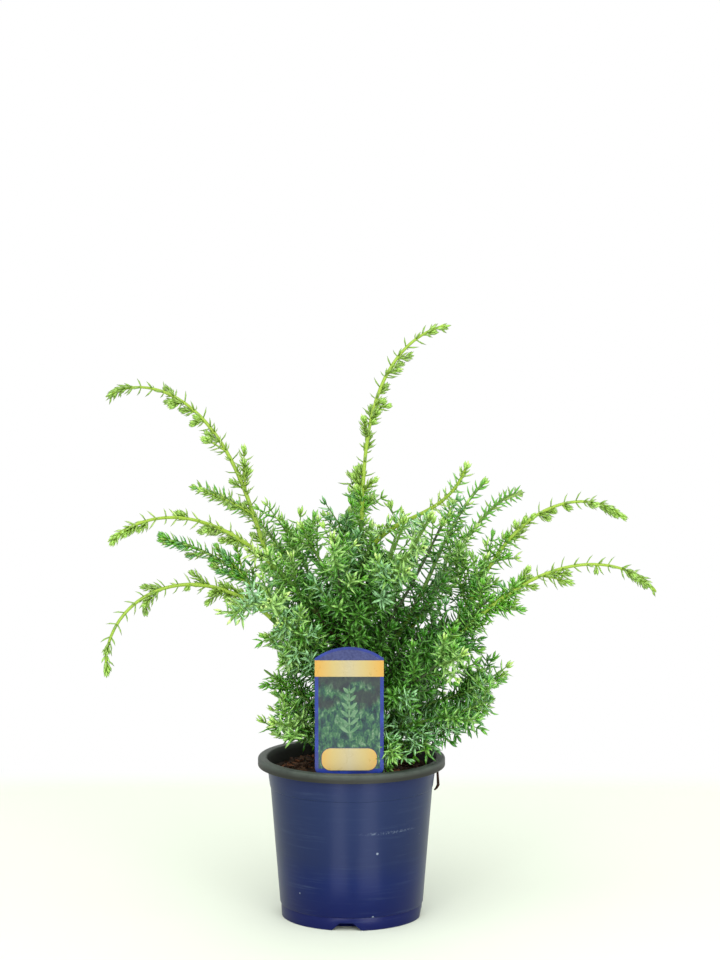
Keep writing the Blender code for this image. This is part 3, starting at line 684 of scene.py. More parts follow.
field_half = half - BORDER + 0.001
field_top = LABEL_TOP - 0.0024
top_field = [(field_half, BAND_TOP - 0.0004)]
top_field += arch(field_half, LABEL_SHOULDER - 0.0014, field_top) + [(0.0, field_top)]
card("label_top_field", top_field, front - INK, INK * 1.5, print_finish("label_violet_print", violet_field))
card("label_band", [(half, BAND_FOOT), (half, BAND_TOP)], front - 2 * INK, INK * 2.5, band_finish)
picture = [(half - BORDER - 0.0002, PICTURE_FOOT), (half - BORDER - 0.0002, BAND_FOOT)]
card("label_picture", picture, front - INK, INK * 1.5, print_finish("label_leafy_print", leafy_picture))
line_finish = plain_print("label_dark_print", 300.0, colour(28, 32, 60), colour(48, 52, 84))
plate_half, plate_foot, plate_top = PLATE
plate_edge = rounded(plate_half + PLATE_LINE, plate_foot - PLATE_LINE, plate_top + PLATE_LINE, 0.0087)
card("label_plate_line", plate_edge, front - 2 * INK, INK, line_finish)
card("label_plate", rounded(*PLATE, PLATE_CORNER), front - 3 * INK, INK, band_finish)

# The motif on the picture: a plain sprig of paired leaves on an upright stalk
SPRIG_FOOT = 0.1745
SPRIG_TOP = 0.2215
SPRIG_PAIRS = 6
SPRIG_LEAF = 0.0125
LEAF_STEPS = 6


def leaf_shape(body, foot, angle, length, width):
    """A pointed leaf, flat on the card."""
    outline = []
    for side in (1, -1):
        for k in range(LEAF_STEPS) if side > 0 else range(LEAF_STEPS, 0, -1):
            share = k / LEAF_STEPS
            across = side * width / 2 * math.sin(math.pi * share) ** 0.8 if 0 < k < LEAF_STEPS else 0.0
            outline.append((length * share, across))
    verts = []
    for along_leaf, across in outline:
        x = foot[0] + along_leaf * math.cos(angle) - across * math.sin(angle)
        up = foot[1] + along_leaf * math.sin(angle) + across * math.cos(angle)
        verts.append(body.verts.new((x, front - 2 * INK, up)))
    return body.faces.new(verts)


body = bmesh.new()
faces = [leaf_shape(body, (LABEL_X, SPRIG_FOOT), math.pi / 2, SPRIG_TOP - SPRIG_FOOT + 0.004, 0.0016)]
for k in range(SPRIG_PAIRS):
    share = k / SPRIG_PAIRS
    foot = (LABEL_X, SPRIG_FOOT + 0.006 + (SPRIG_TOP - SPRIG_FOOT - 0.004) * share)
    for side in (1, -1):
        angle = math.pi / 2 - side * math.radians(52 - 10 * share)
        faces.append(leaf_shape(body, foot, angle, SPRIG_LEAF * (1 - 0.45 * share), 0.0030))
push_out(body, faces, (0, INK * 1.2, 0))
bmesh.ops.recalc_face_normals(body, faces=body.faces)
sprig_finish = plain_print("label_pale_print", 160.0, colour(62, 104, 72), colour(102, 134, 100))
sprig = place("label_sprig", to_mesh("label_sprig", body), sprig_finish)
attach(sprig, "root")


# The trunk and boughs
# A short leaning trunk with a flared foot and flaking bark, hidden low in the crown. Every limb is worked
# out from its height on the trunk, its heading, how it rises and its length, and its bark turns green.

GAP = 0.0003
TRUNK_FOOT = (-0.020, 0.004, SOIL_TOP + GAP)
TRUNK_HEADING = 8
TRUNK_RISES = (74, 80, 88)
TRUNK_LENGTH = 0.172
TRUNK_STEPS = 14
TRUNK_RADIUS = 0.0066
TRUNK_TIP_RADIUS = 0.0030
ROOT_FLARE = 0.0050
FLARE_FADE = 0.009
COLLAR = 0.0045
SHOOTS = {  # height on the trunk, heading, rises, length, turn, shares where the bough and masses end
    "upper_left": (0.214, 154, (23, 139, -32), 0.395, 0, (0.36, 0.68)),
    "outer_left": (0.236, 198, (49, 62, -31), 0.298, 22, (0.40,)),
    "drooping_left": (0.178, 184, (62, 65, -98), 0.322, 22, (0.36, 0.68)),
    "top": (0.240, 80, (61, 131, 8), 0.338, -55, (0.36, 0.68)),
    "upper_right": (0.205, 14, (-17, 152, -42), 0.335, -20, (0.44,)),
    "lower_right": (0.190, -10, (14, 94, -50), 0.333, 22, (0.40,)),
    "front_right": (None, -50, (86, -30, 69), 0.185, 8, (0.24,)),
    "right": (0.218, 27, (17, 97, 38), 0.225, 0, (0.42,)),
    "back_right": (0.212, 40, (12, 83, -5), 0.305, 20, (0.44,)),
    "front": (0.258, -62, (43, 37, 45), 0.185, 0, (0.40,)),
    "back_left": (0.226, 138, (51, 60, 2), 0.253, 4, (0.42,)),
    "left": (0.194, 172, (56, 60, 8), 0.231, 5, (0.42,)),
    "back": (0.186, 90, (34, 96, -22), 0.290, -6, (0.42,)),
    "front_left": (0.204, 226, (26, 90, -36), 0.207, 15, (0.44,)),
}
SHOOT_STEPS = 40
SHOOT_RADIUS = 0.0026
SHOOT_TIP_RADIUS = 0.0012
TIERS = {  # lowest foot, step between feet, how many steps each foot lies above the last, rises, headings
    "low": (0.1490, 0.0027, 3, (22, 6, 28), (-50, -20, 8, 42, 92, 140, 186, 228)),
    "middle": (0.1720, 0.0062, 5, (26, 34, 44), (-36, -8, 26, 66, 112, 166, 214, 268)),
    "high": (0.2240, 0.0105, 3, (48, 62, 66), (0, 51, 103, 154, 206, 257, 309)),
}
TIER_REACH = 0.16
TIER_STEPS = 64
TIER_FREE_STEPS = 12
TIER_RADIUS = 0.0018
TIER_TIP_RADIUS = 0.0011
CROWN_CENTRE = np.array((0.032, 0.000, 0.250))
CROWN_SIZE = np.array((0.113, 0.104, 0.122))
CROWN_SQUARENESS = 3.2
LABEL_ROOM = 0.010
BARK_PITCH = 0.0016


def limb(foot, heading, rises, length, turn=0.0, steps=24):
    """Points along a limb. Its rise passes from the first value by the second to the last."""
    first, middle, last = (math.radians(rise) for rise in rises)
    point = np.array(foot, float)
    points = [point.copy()]
    for step in range(steps):
        share = (step + 0.5) / steps
        left = 1 - share
        rise = left ** 2 * first + 2 * share * left * middle + share ** 2 * last
        way = math.radians(heading + turn * share)
        out = math.cos(rise)
        point += length / steps * np.array([out * math.cos(way), out * math.sin(way), math.sin(rise)])
        points.append(point.copy())
    return np.array(points)


TRUNK = limb(TRUNK_FOOT, TRUNK_HEADING, TRUNK_RISES, TRUNK_LENGTH, 0.0, TRUNK_STEPS)


def on_trunk(height):
    """The point of the trunk's middle line at a height, and the trunk's radius there."""
    spot = np.interp(height, TRUNK[:, 2], np.arange(len(TRUNK)))
    low = min(int(spot), len(TRUNK) - 2)
    return TRUNK[low] + (spot - low) * (TRUNK[low + 1] - TRUNK[low]), trunk_radius(height)


def trunk_radius(height):
    risen = height - TRUNK_FOOT[2]
    share = risen / (TRUNK[-1][2] - TRUNK_FOOT[2])
    taper = TRUNK_RADIUS + share * (TRUNK_TIP_RADIUS - TRUNK_RADIUS)
    return taper + ROOT_FLARE * math.exp(-risen / FLARE_FADE)


def distances(points):
    """How far along a line each of its points lies."""
    steps = np.linalg.norm(np.diff(points, axis=0), axis=1)
    return np.concatenate([[0.0], np.cumsum(steps)])


def along(points, marks):
    """The points at the given distances along a line of points."""
    run = distances(points)
    return np.stack([np.interp(marks, run, points[:, axis]) for axis in range(3)], axis=1)


def evenly(start, end, pitch):
    return np.linspace(start, end, max(1, int(round((end - start) / pitch))) + 1)


def run_length(points):
    return float(np.linalg.norm(np.diff(points, axis=0), axis=1).sum())


def crown_share(point):
    """How far out in the close crown a point lies: 0 at its middle, 1 at its surface."""
    share = np.abs((point - CROWN_CENTRE) / CROWN_SIZE)
    return (share ** CROWN_SQUARENESS).sum(axis=-1) ** (1 / CROWN_SQUARENESS)


def clear_of_label(point, margin):
    beside = abs(point[0] - LABEL_X) > LABEL_WIDTH / 2 + margin
    above = point[2] > LABEL_TOP + margin
    behind = abs(point[1] - LABEL_Y) > LABEL_THICKNESS / 2 + margin
    return beside or above or behind


def crown_limb(height, heading, rises):
    """A limb of the close crown grows until it meets the crown's surface, or comes near the label."""
    points = limb(on_trunk(height)[0], heading, rises, TIER_REACH, 0.0, TIER_STEPS)
    count = TIER_FREE_STEPS
    while count < len(points) and crown_share(points[count]) < 1:
        if not clear_of_label(points[count], LABEL_ROOM):
            break
        count += 1
    return points[:count]


def plan_limbs():
    """Every limb as its name, its points, the shares where its bough and masses end, and its radii."""
    limbs = []
    for name, (height, heading, rises, length, turn, shares) in SHOOTS.items():
        foot = TRUNK[-1] if height is None else on_trunk(height)[0]
        points = limb(foot, heading, rises, length, turn, SHOOT_STEPS)
        limbs.append((name, points, shares, SHOOT_RADIUS, SHOOT_TIP_RADIUS, height))
    for tier, (lowest, step, skip, rises, headings) in TIERS.items():
        for k, heading in enumerate(headings):
            height = lowest + step * (skip * k % len(headings))
            points = crown_limb(height, heading, rises)
            limbs.append((f"{tier}_{k + 1}", points, (), TIER_RADIUS, TIER_TIP_RADIUS, height))
    return limbs


BOUGH_PITCH = 0.020  # over which length a limb's way off the trunk is taken
FACE = 0.002  # the step between the places at which a limb's way is known


def seat(points, height, radius):
    """How far along a limb its foot comes clear of the trunk's surface."""
    way = along(points, [BOUGH_PITCH])[0] - points[0]
    up = TRUNK[-1] - TRUNK[-2] if height is None else on_trunk(height + FACE)[0] - on_trunk(height)[0]
    lean = math.acos(way @ up / np.linalg.norm(way) / np.linalg.norm(up))
    if height is None:
        return radius * math.sin(lean)
    return on_trunk(height)[1] / math.sin(lean) + radius / abs(math.tan(lean))


def stems_of(limbs):
    """The line, ends and radii of each mass's stem and of each bough."""
    stems = {}
    boughs = {}
    for name, points, shares, foot_radius, tip_radius, height in limbs:
        whole = run_length(points)
        start = seat(points, height, foot_radius) + (GAP if shares else 2 * GAP)
        if shares and height:
            start += COLLAR
        marks = [start] + [share * whole for share in shares] + [whole]
        radii = [foot_radius + mark / whole * (tip_radius - foot_radius) for mark in marks]
        if shares:
            boughs[f"bough_{name}"] = (points, marks[0], marks[1], radii[0], radii[1])
            marks = marks[1:]
            radii = radii[1:]
        parts = len(marks) - 1
        for k in range(parts):
            label = f"mass_{name}" if parts == 1 else f"mass_{name}_{k + 1}"
            first = marks[k] + (GAP if shares else 0.0)
            stems[label] = (points, first, marks[k + 1], radii[k], radii[k + 1])
    return stems, boughs


def tube(name, lines, sides, finishes=()):
    """One mesh of round tapering tubes, each from its points, its radii and its finish's number."""
    curve = bpy.data.curves.new(name, "CURVE")
    curve.dimensions = "3D"
    curve.bevel_depth = 1.0
    curve.bevel_resolution = (sides - 4) // 2
    curve.use_fill_caps = True
    for finish in finishes:
        curve.materials.append(finish)
    for points, radii, finish in lines:
        line = curve.splines.new("POLY")
        line.points.add(len(points) - 1)
        line.points.foreach_set("co", np.column_stack([points, np.ones(len(points))]).ravel())
        line.points.foreach_set("radius", np.asarray(radii, float))
        line.material_index = finish
    holder = bpy.data.objects.new(name, curve)
    bpy.context.scene.collection.objects.link(holder)
    bpy.context.view_layer.update()
    mesh = bpy.data.meshes.new_from_object(holder.evaluated_get(bpy.context.evaluated_depsgraph_get()))
    bpy.data.objects.remove(holder, do_unlink=True)
    mesh.name = name
    return mesh


def bark_tube(body, points, radii, sides, relief, seed):
    """A limb whose bark stands in long flaking plates, added to the mesh."""
    mesh = tube("limb", [(points, radii, 0)], sides)
    run = distances(points)
    for number, vert in enumerate(mesh.vertices[:len(points) * sides]):
        ring, spoke = divmod(number, sides)
        turn = 2 * math.pi * spoke / sides
        place_on = Vector((math.cos(turn) * 1.9, math.sin(turn) * 1.9, run[ring] * 95 + seed * 17))
        plates = noise.noise(place_on)
        flakes = noise.noise(Vector((place_on.x * 2.6, place_on.y * 2.6, place_on.z * 1.7)))
        push = relief * (abs(plates) * 1.5 - 0.3 + 0.35 * flakes)
        out = vert.co - Vector(points[ring])
        vert.co += out.normalized() * push
    body.from_mesh(mesh)


TRUNK_MIDDLE_X = -0.012
TRUNK_SIDES = 24
TRUNK_RELIEF = 0.0009
BOUGH_SIDES = 12
BOUGH_RELIEF = 0.00035
bark_finish, tree, shader = new_finish("flaking_bark", 0.85)
where, x, y, z = split_place(tree)
out_x = maths(tree, "ADD", x, -TRUNK_MIDDLE_X)
across = maths(tree, "MULTIPLY", out_x, out_x)
from_trunk = maths(tree, "SQRT", maths(tree, "ADD", across, maths(tree, "MULTIPLY", y, y)))
strips = mottle(tree, stretch(tree, where, (1.0, 1.0, 0.35)), 330.0, 8.0, 0.7)
brown = ramp(tree, strips, [
    (0.30, colour(36, 28, 16)), (0.50, colour(62, 50, 28)), (0.70, colour(98, 80, 48))])
green = ramp(tree, strips, [
    (0.30, colour(44, 74, 24)), (0.50, colour(66, 104, 34)), (0.72, colour(98, 136, 52))])
young = ramp(tree, strips, [
    (0.30, colour(84, 114, 26)), (0.50, colour(110, 142, 38)), (0.72, colour(136, 164, 54))])
uneven = maths(tree, "MULTIPLY", maths(tree, "SUBTRACT", mottle(tree, where, 60.0, 3.0), 0.5), 0.03)
reach = maths(tree, "DIVIDE", maths(tree, "ADD", from_trunk, uneven), 0.1)
turns_green = ramp(tree, reach, [(0.08, 0.0), (0.26, 1.0)])
turns_young = ramp(tree, reach, [(0.52, 0.0), (0.92, 1.0)])
paint(tree, shader, mix(tree, turns_young, mix(tree, turns_green, brown, green), young))
shader.inputs["Specular IOR Level"].default_value = 0.3
emboss(tree, shader, strips, 0.6, 0.0006)

stems, boughs = stems_of(plan_limbs())
body = bmesh.new()
marks = np.concatenate([evenly(0.0, 0.012, 0.0012), evenly(0.0135, run_length(TRUNK), BARK_PITCH)])
points = along(TRUNK, marks)
bark_tube(body, points, [trunk_radius(point[2]) for point in points], TRUNK_SIDES, TRUNK_RELIEF, 0)
for number, (line, start, end, thick, thin) in enumerate(boughs.values()):
    marks = evenly(0.0, end, BARK_PITCH)
    radii = np.interp(marks, [0.0, start - COLLAR, start, end], [thick * 1.35, thick * 1.3, thick, thin])
    bark_tube(body, along(line, marks), radii, BOUGH_SIDES, BOUGH_RELIEF, number + 1)
bmesh.ops.remove_doubles(body, verts=body.verts, dist=0.00001)
bmesh.ops.recalc_face_normals(body, faces=body.faces)
bark = place("bark", to_mesh("bark", body), bark_finish)
bark.data.shade_smooth()
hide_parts("trunk", *boughs)
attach(bark, "root")

# A stray dry root that hangs out under the rim at the right
ROOT_Y = -0.003
STRAY_ROOT = (  # across, up and the radius
    (0.0776, 0.1385, 0.0010),
    (0.0780, 0.1327, 0.0010),
    (0.0785, 0.1244, 0.0012),
    (0.0787, 0.1200, 0.0014),
    (0.0774, 0.1174, 0.0012),
    (0.0753, 0.1151, 0.0007),
)
root_points = np.array([(across, ROOT_Y, up) for across, up, radius in STRAY_ROOT])
root_mesh = tube("stray_root", [(root_points, [radius for *_, radius in STRAY_ROOT], 0)], 8)
root_finish = soil_finish("dry_root", colour(24, 14, 10), colour(66, 40, 26), 500.0)
stray_root = place("stray_root", root_mesh, root_finish)
stray_root.data.shade_smooth()
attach(stray_root, "root")


# The twigs
# Side twigs leave each stem in a spiral and bend outwards and up, and finer ones leave them in their turn.
# They keep to their own mass's space. Young stems are yellow-green, and older ones inside turn brown.

SEED = 11
GOLDEN_ANGLE = 137.508
TWIG_ANGLE = 48
TWIG_FOLLOW = 0.05
TWIG_LIFT = 0.03
TWIG_STEP = 0.004
TWIG_VARIES = 0.15
FIRST_TWIG = 0.45
LAST_TWIG = 0.010
SHOOT_TWIG_SPACING = 0.027
SHOOT_TWIG_FOOT = 0.058
SHOOT_TWIG_TIP = 0.010
SHOOT_TWIG_FALL = 0.6
TIER_TWIG_SPACING = 0.0230
TIER_TWIG = 0.046
TIER_TWIG_END = 0.012
TIER_TWIG_RISE = 0.9
SPACE_PITCH = 0.003
SPACE_MARGIN = 0.0009
LIMB_MARGIN = 0.0012
POT_MARGIN = 0.0015
CROWN_EDGE = 1.10
# The long shoots, and then the shorter ones that also stand out of the crown, with their habit there
LEADERS = ("upper_left", "outer_left", "drooping_left", "top", "upper_right", "lower_right")
SLENDER = {
    "back_left": "shoot", "back_right": "shoot", "right": "shoot", "front_right": "shoot", "left": "brush"}
LEADER_TWIG = 0.45


def in_tier(name):
    return any(name.startswith(f"mass_{tier}_") for tier in TIERS)


def clear_of_pot(point):
    out = math.hypot(point[0], point[1])
    if out < RIM_RADIUS + POT_MARGIN:
        rim = POT_HEIGHT if out > NECK_RADIUS - 2 * POT_MARGIN else SOIL_TOP
        return point[2] > rim + POT_MARGIN
    return point[2] > POT_HEIGHT - RIM_HEIGHT


class Space:
    """Tells whether a point lies in a mass's own space and clear of every limb, the pot and the label."""

    def __init__(self, stems, boughs):
        self.names = list(stems)
        lines = [along(line, evenly(start, end, SPACE_PITCH)) for line, start, end, *_ in stems.values()]
        self.points = np.concatenate(lines)
        self.owner = np.concatenate([np.full(len(line), k) for k, line in enumerate(lines)])
        wood = []
        girth = []
        trunk = (TRUNK, 0.0, run_length(TRUNK), TRUNK_RADIUS, TRUNK_TIP_RADIUS)
        for line, _, end, thick, thin in [trunk, *boughs.values()]:
            wood.append(along(line, evenly(0.0, end, SPACE_PITCH)))
            girth.append(np.linspace(thick, thin, len(wood[-1])))
        self.wood = np.concatenate(wood)
        self.girth = np.concatenate(girth)

    def free(self, point, name):
        if name in self.names:
            far = np.linalg.norm(self.points - point, axis=1)
            mine = self.owner == self.names.index(name)
            if far[mine].min() + 2 * SPACE_MARGIN > far[~mine].min():
                return False
        if (np.linalg.norm(self.wood - point, axis=1) - self.girth).min() < LIMB_MARGIN:
            return False
        return clear_of_pot(point) and clear_of_label(point, POT_MARGIN)


SKY_GAPS = (  # where the sky shows through the crown: across, up, half width, half height
    (0.0403, 0.3427, 0.0140, 0.0125),
    (0.0756, 0.3519, 0.0090, 0.0160),
    (0.0671, 0.3139, 0.0070, 0.0130),
    (-0.0279, 0.3319, 0.0050, 0.0080),
    (-0.0310, 0.3175, 0.0040, 0.0050),
    (0.0510, 0.2903, 0.0050, 0.0060),
    (0.0925, 0.2758, 0.0060, 0.0070),
    (-0.0094, 0.3767, 0.0081, 0.0109),
    (-0.0827, 0.2683, 0.0153, 0.0100),
    (-0.0792, 0.2298, 0.0144, 0.0100),
    (-0.0775, 0.1985, 0.0126, 0.0064),
    (-0.0758, 0.1561, 0.0153, 0.0073),
    (-0.0486, 0.1524, 0.0144, 0.0059),
    (0.1356, 0.2666, 0.0100, 0.0070),
    (0.1307, 0.2527, 0.0117, 0.0046),
    (0.1391, 0.2031, 0.0135, 0.0082),
    (0.1320, 0.1773, 0.0126, 0.0082),
    (0.1410, 0.1948, 0.0126, 0.0137),
    (0.0572, 0.3776, 0.0162, 0.0091),
    (0.0257, 0.3649, 0.0081, 0.0073),
    (-0.0746, 0.2371, 0.0081, 0.0082),
    (-0.0783, 0.2224, 0.0081, 0.0046),
)


def in_view(points):
    """Where on the plane Y = 0 the camera sees each point."""
    eye = np.array(camera.location)
    return eye + (points - eye) * (eye[1] / (eye[1] - points[..., 1:2]))


def in_sky_gap(points, share=1.0):
    """Whether each point stands between the camera and a gap of the crown, or the gap's given share."""
    seen = in_view(points)
    hidden = np.zeros(seen.shape[:-1], bool)
    for across, up, half_width, half_height in SKY_GAPS:
        beside = (seen[..., 0] - across) / half_width
        above = (seen[..., 2] - up) / half_height
        hidden |= beside ** 2 + above ** 2 < share ** 2
    return hidden


def frames(points):
    """The way forward at each point, and two ways across it that don't twist along the line."""
    ways = np.gradient(points, axis=0)
    ways /= np.linalg.norm(ways, axis=1)[:, None]
    across = np.cross(ways[0], (0.0, 0.0, 1.0))
    if np.linalg.norm(across) < 0.1:
        across = np.cross(ways[0], (1.0, 0.0, 0.0))
    sides = []
    for way in ways:
        across = across - way * (across @ way)
        across /= np.linalg.norm(across)
        sides.append(across)
    sides = np.array(sides)
    return ways, sides, np.cross(sides, ways)


def guide(line):
    """A line's length, its points set close, and the ways along and across it at each."""
    whole = run_length(line)
    points = along(line, evenly(0.0, whole, FACE))
    return whole, points, *frames(points)


def grow(foot, way, follow, length, space, name, lift=TWIG_LIFT):
    """A twig grows step by step, and stops where it would leave its mass's space."""
    twig = [foot]
    steps = max(2, round(length / TWIG_STEP))
    for _ in range(steps):
        way = way + TWIG_FOLLOW * follow + np.array([0.0, 0.0, lift])
        way /= np.linalg.norm(way)
        point = twig[-1] + length / steps * way
        if len(twig) > 1 and not space.free(point, name) or in_sky_gap(point):
            break
        twig.append(point)
    return np.array(twig)


def side_way(ways, sides, ups, spot, lean, turn):
    out = math.cos(math.radians(turn)) * sides[spot] + math.sin(math.radians(turn)) * ups[spot]
    return math.cos(math.radians(lean)) * ways[spot] + math.sin(math.radians(lean)) * out


def is_leader(name):
    return name.split("_", 1)[-1].rstrip("_123") in LEADERS


def slender_habit(name):
    """The habit of a limb's stem where it stands out of the close crown, if it does so almost bare."""
    return "leader" if is_leader(name) else SLENDER.get(name.split("_", 1)[-1])


def plan_twigs(name, stem, space, chance):
    """The side twigs of a mass, as the source has them."""
    line, start, end, *_ = stem
    shoot = not in_tier(name)
    spacing = SHOOT_TWIG_SPACING if shoot else TIER_TWIG_SPACING
    whole, points, ways, sides, ups = guide(line)
    twigs = []
    turn = chance.uniform(0, 360)
    mark = start + spacing * FIRST_TWIG
    while mark < end - LAST_TWIG:
        share = mark / whole
        length = TIER_TWIG
        if shoot:
            length = SHOOT_TWIG_FOOT + (SHOOT_TWIG_TIP - SHOOT_TWIG_FOOT) * share ** SHOOT_TWIG_FALL
        length *= chance.uniform(1 - TWIG_VARIES, 1 + TWIG_VARIES)
        if not shoot:
            length = min(length, TIER_TWIG_END + TIER_TWIG_RISE * (end - mark))
        spot = int(share * (len(points) - 1))
        side = turn
        if slender_habit(name) and crown_share(points[spot]) > CROWN_EDGE:
            length *= LEADER_TWIG
            side = below_the(sides, ups, spot) + chance.gauss(0, 40) if is_leader(name) else turn
        way = side_way(ways, sides, ups, spot, TWIG_ANGLE, side)
        twig = grow(points[spot], way, ways[spot], length, space, name)
        if len(twig) > 3:
            twigs.append(twig)
        turn += GOLDEN_ANGLE
        mark += spacing
    return twigs


def below_the(sides, ups, spot):
    """The turn about a line that points straight down."""
    return math.degrees(math.atan2(-ups[spot][2], -sides[spot][2]))


# How far out in the crown each kind of limb is filled, and its twigs that hang and don't rise
FILL_LEANS = (34, 50)
FILL_EDGE = 0.98
LEADER_EDGE = 1.06
SHOOT_EDGE = 2.0
EDGE_ROOM = 0.06
SHOOT_TWIG_RISE = 0.35
HANGING = ("mass_low_1", "mass_low_2", "mass_low_3", "mass_low_4", "bough_lower_right", "bough_front_right")
HANGING_SHARE = 0.65
HANG = -0.03


def plan_fill(name, line, start, end, spacing, longest, space, chance):
    """The twigs that stand between the source's, wherever the stem runs inside the close crown."""
    _, points, ways, sides, ups = guide(line)
    twigs = []
    turn = chance.uniform(0, 360)
    mark = start + spacing * chance.uniform(0.2, 0.9)
    edge = LEADER_EDGE if slender_habit(name) else SHOOT_EDGE
    if in_tier(name) or name == "trunk":
        edge = FILL_EDGE
    rise = TIER_TWIG_RISE if in_tier(name) else SHOOT_TWIG_RISE
    while mark < end - LAST_TWIG / 2:
        spot = min(int(mark / FACE), len(points) - 1)
        length = longest * chance.uniform(0.6, 1.0)
        hangs = name in HANGING and chance.random() < HANGING_SHARE
        if not hangs:
            length = min(length, TIER_TWIG_END + rise * (end - mark))
        side = below_the(sides, ups, spot) + chance.gauss(0, 50) if hangs else turn
        way = side_way(ways, sides, ups, spot, chance.uniform(*FILL_LEANS), side)
        if crown_share(points[spot]) < edge - EDGE_ROOM:
            twig = grow(points[spot], way, ways[spot], length, space, name, HANG if hangs else TWIG_LIFT)
            twig = twig[:int((crown_share(twig) < edge).sum())]
            if len(twig) > 2:
                twigs.append(twig)
        turn += GOLDEN_ANGLE
        mark += spacing * chance.uniform(0.8, 1.2)
    return twigs


FINE_SPACING = 0.0165
FINE_FIRST = 0.010
FINE_LAST = 0.012
FINE_LENGTH = 0.026
FINE_TIP = 0.010
FINE_RISE = 0.6
FINE_LEANS = (38, 50)
FINE_INSIDE = 0.8


def plan_fine(name, twig, space, chance):
    """The finer twigs that leave a side twig, shorter towards its tip, and few near the crown's surface."""
    whole, points, ways, sides, ups = guide(twig)
    fine = []
    turn = chance.uniform(0, 360)
    mark = FINE_FIRST
    while mark < whole - FINE_LAST:
        length = min(FINE_LENGTH, FINE_TIP + FINE_RISE * (whole - mark)) * chance.uniform(0.7, 1.1)
        spot = min(int(mark / FACE), len(points) - 1)
        way = side_way(ways, sides, ups, spot, chance.uniform(*FINE_LEANS), turn)
        if chance.random() < (0.65 if crown_share(points[spot]) < FINE_INSIDE else 0.35):
            grown = grow(points[spot], way, ways[spot], length, space, name)
            if len(grown) > 2:
                fine.append(grown)
        turn += GOLDEN_ANGLE
        mark += FINE_SPACING * chance.uniform(0.8, 1.25)
    return fine


TUFT_SPACING = 0.0190
TUFT_LONGEST = 0.020
TUFT_TIP = 0.0110
TUFT_RISE = 0.12
TUFT_LEANS = (26, 44)
TUFT_TIP_LEAN = 20
TUFT_BOW = 8.0


def plan_tufts(line, start, end, chance):
    """The short closed tufts in the axils of a long shoot, most of them on its lower side."""
    whole, points, ways, sides, ups = guide(line)
    tufts = []
    turn = chance.uniform(0, 360)
    mark = start + TUFT_SPACING / 2
    while mark < end - 0.004:
        spot = min(int(mark / FACE), len(points) - 1)
        to_tip = whole - mark
        length = min(TUFT_LONGEST, TUFT_TIP + TUFT_RISE * to_tip) * chance.uniform(0.65, 1.1)
        side = below_the(sides, ups, spot) + chance.gauss(0, 45) if chance.random() < 0.85 else turn
        lean = TUFT_TIP_LEAN if to_tip < 0.035 else chance.uniform(*TUFT_LEANS)
        way = side_way(ways, sides, ups, spot, lean, side)
        if crown_share(points[spot]) > 1.0 and chance.random() < (0.95 if to_tip < 0.04 else 0.45):
            steps = np.linspace(0.0, length, 5)[:, None]
            tufts.append(points[spot] + steps * way + TUFT_BOW * steps ** 2 * (ways[spot] - way))
        turn += GOLDEN_ANGLE
        mark += TUFT_SPACING * chance.choice((0.35, 0.9, 1.3)) * (0.6 if to_tip < 0.045 else 1.0)
    return tufts


TIP_NEEDLES = 0.007
SIDE_BEND = 0.07


def plan_side_shoot(across, up, tip_across, tip_up, lines, chance):
    """A shoot from the nearest limb to a tip that shows in the crown's outline, and the limb's name."""
    foot = np.array([across, 0.0, up])
    far = {}
    for name, line in lines.items():
        far[name] = np.linalg.norm(in_view(line) - foot, axis=1) + 0.2 * np.abs(line[:, 1])
    name = min(far, key=lambda name: far[name].min())
    spot = int(far[name].argmin())
    foot = lines[name][spot]
    eye = np.array(camera.location)
    sight = (np.array([tip_across, 0.0, tip_up]) - eye) / -eye[1]
    share = min(1.0, math.hypot(tip_across - across, tip_up - up) / 0.04)
    depth = foot[1] + share * (chance.uniform(-0.008, 0.008) - 0.2 * foot[1])
    tip = eye + sight * (depth - eye[1])
    while not clear_of_pot(tip):
        depth -= 0.005
        tip = eye + sight * (depth - eye[1])
    way = lines[name][min(spot + 1, len(lines[name]) - 1)] - lines[name][max(spot - 1, 0)]
    reach = np.linalg.norm(tip - foot)
    tip = foot + (tip - foot) * (1 - TIP_NEEDLES / reach)
    bend = (foot + tip) / 2 + SIDE_BEND * reach * way / np.linalg.norm(way)
    share = np.linspace(0, 1, max(4, int(reach / TWIG_STEP)))[:, None]
    return (1 - share) ** 2 * foot + 2 * share * (1 - share) * bend + share ** 2 * tip, name


space = Space(stems, boughs)
FILL_SPACING = 0.0135
BOUGH_SPACING = 0.0115
BOUGH_TWIG = 0.042
TRUNK_BARE = 0.030
TRUNK_SPACING = 0.008
# The limbs that face the camera, which are filled more closely
FACING = ("bough_front", "bough_front_left", "bough_front_right", "mass_low_1", "mass_low_2", "mass_low_3")
STEM_PITCH = 0.003
TWIG_RADII = (0.00080, 0.0004)
FINE_RADII = (0.00045, 0.0003)
TUFT_RADII = (0.0006, 0.0004)
sprigs = []  # each dressed line: its points, radii and habit, whether the limb goes on past it, and the limb


def add_sprigs(lines, radii, kind, name, goes_on=False):
    for line in lines:
        sprigs.append((line, *radii, kind, goes_on, name))


def add_branch(name, twigs, chance):
    """A limb's side twigs, with finer twigs on those of the close crown."""
    for twig in twigs:
        if slender_habit(name) and crown_share(twig[0]) > CROWN_EDGE:
            add_sprigs([twig], TWIG_RADII, "tuft" if is_leader(name) else "shoot", name)
        else:
            add_sprigs([twig], TWIG_RADII, "twig", name)
            add_sprigs(plan_fine(name, twig, space, chance), FINE_RADII, "fine", name)


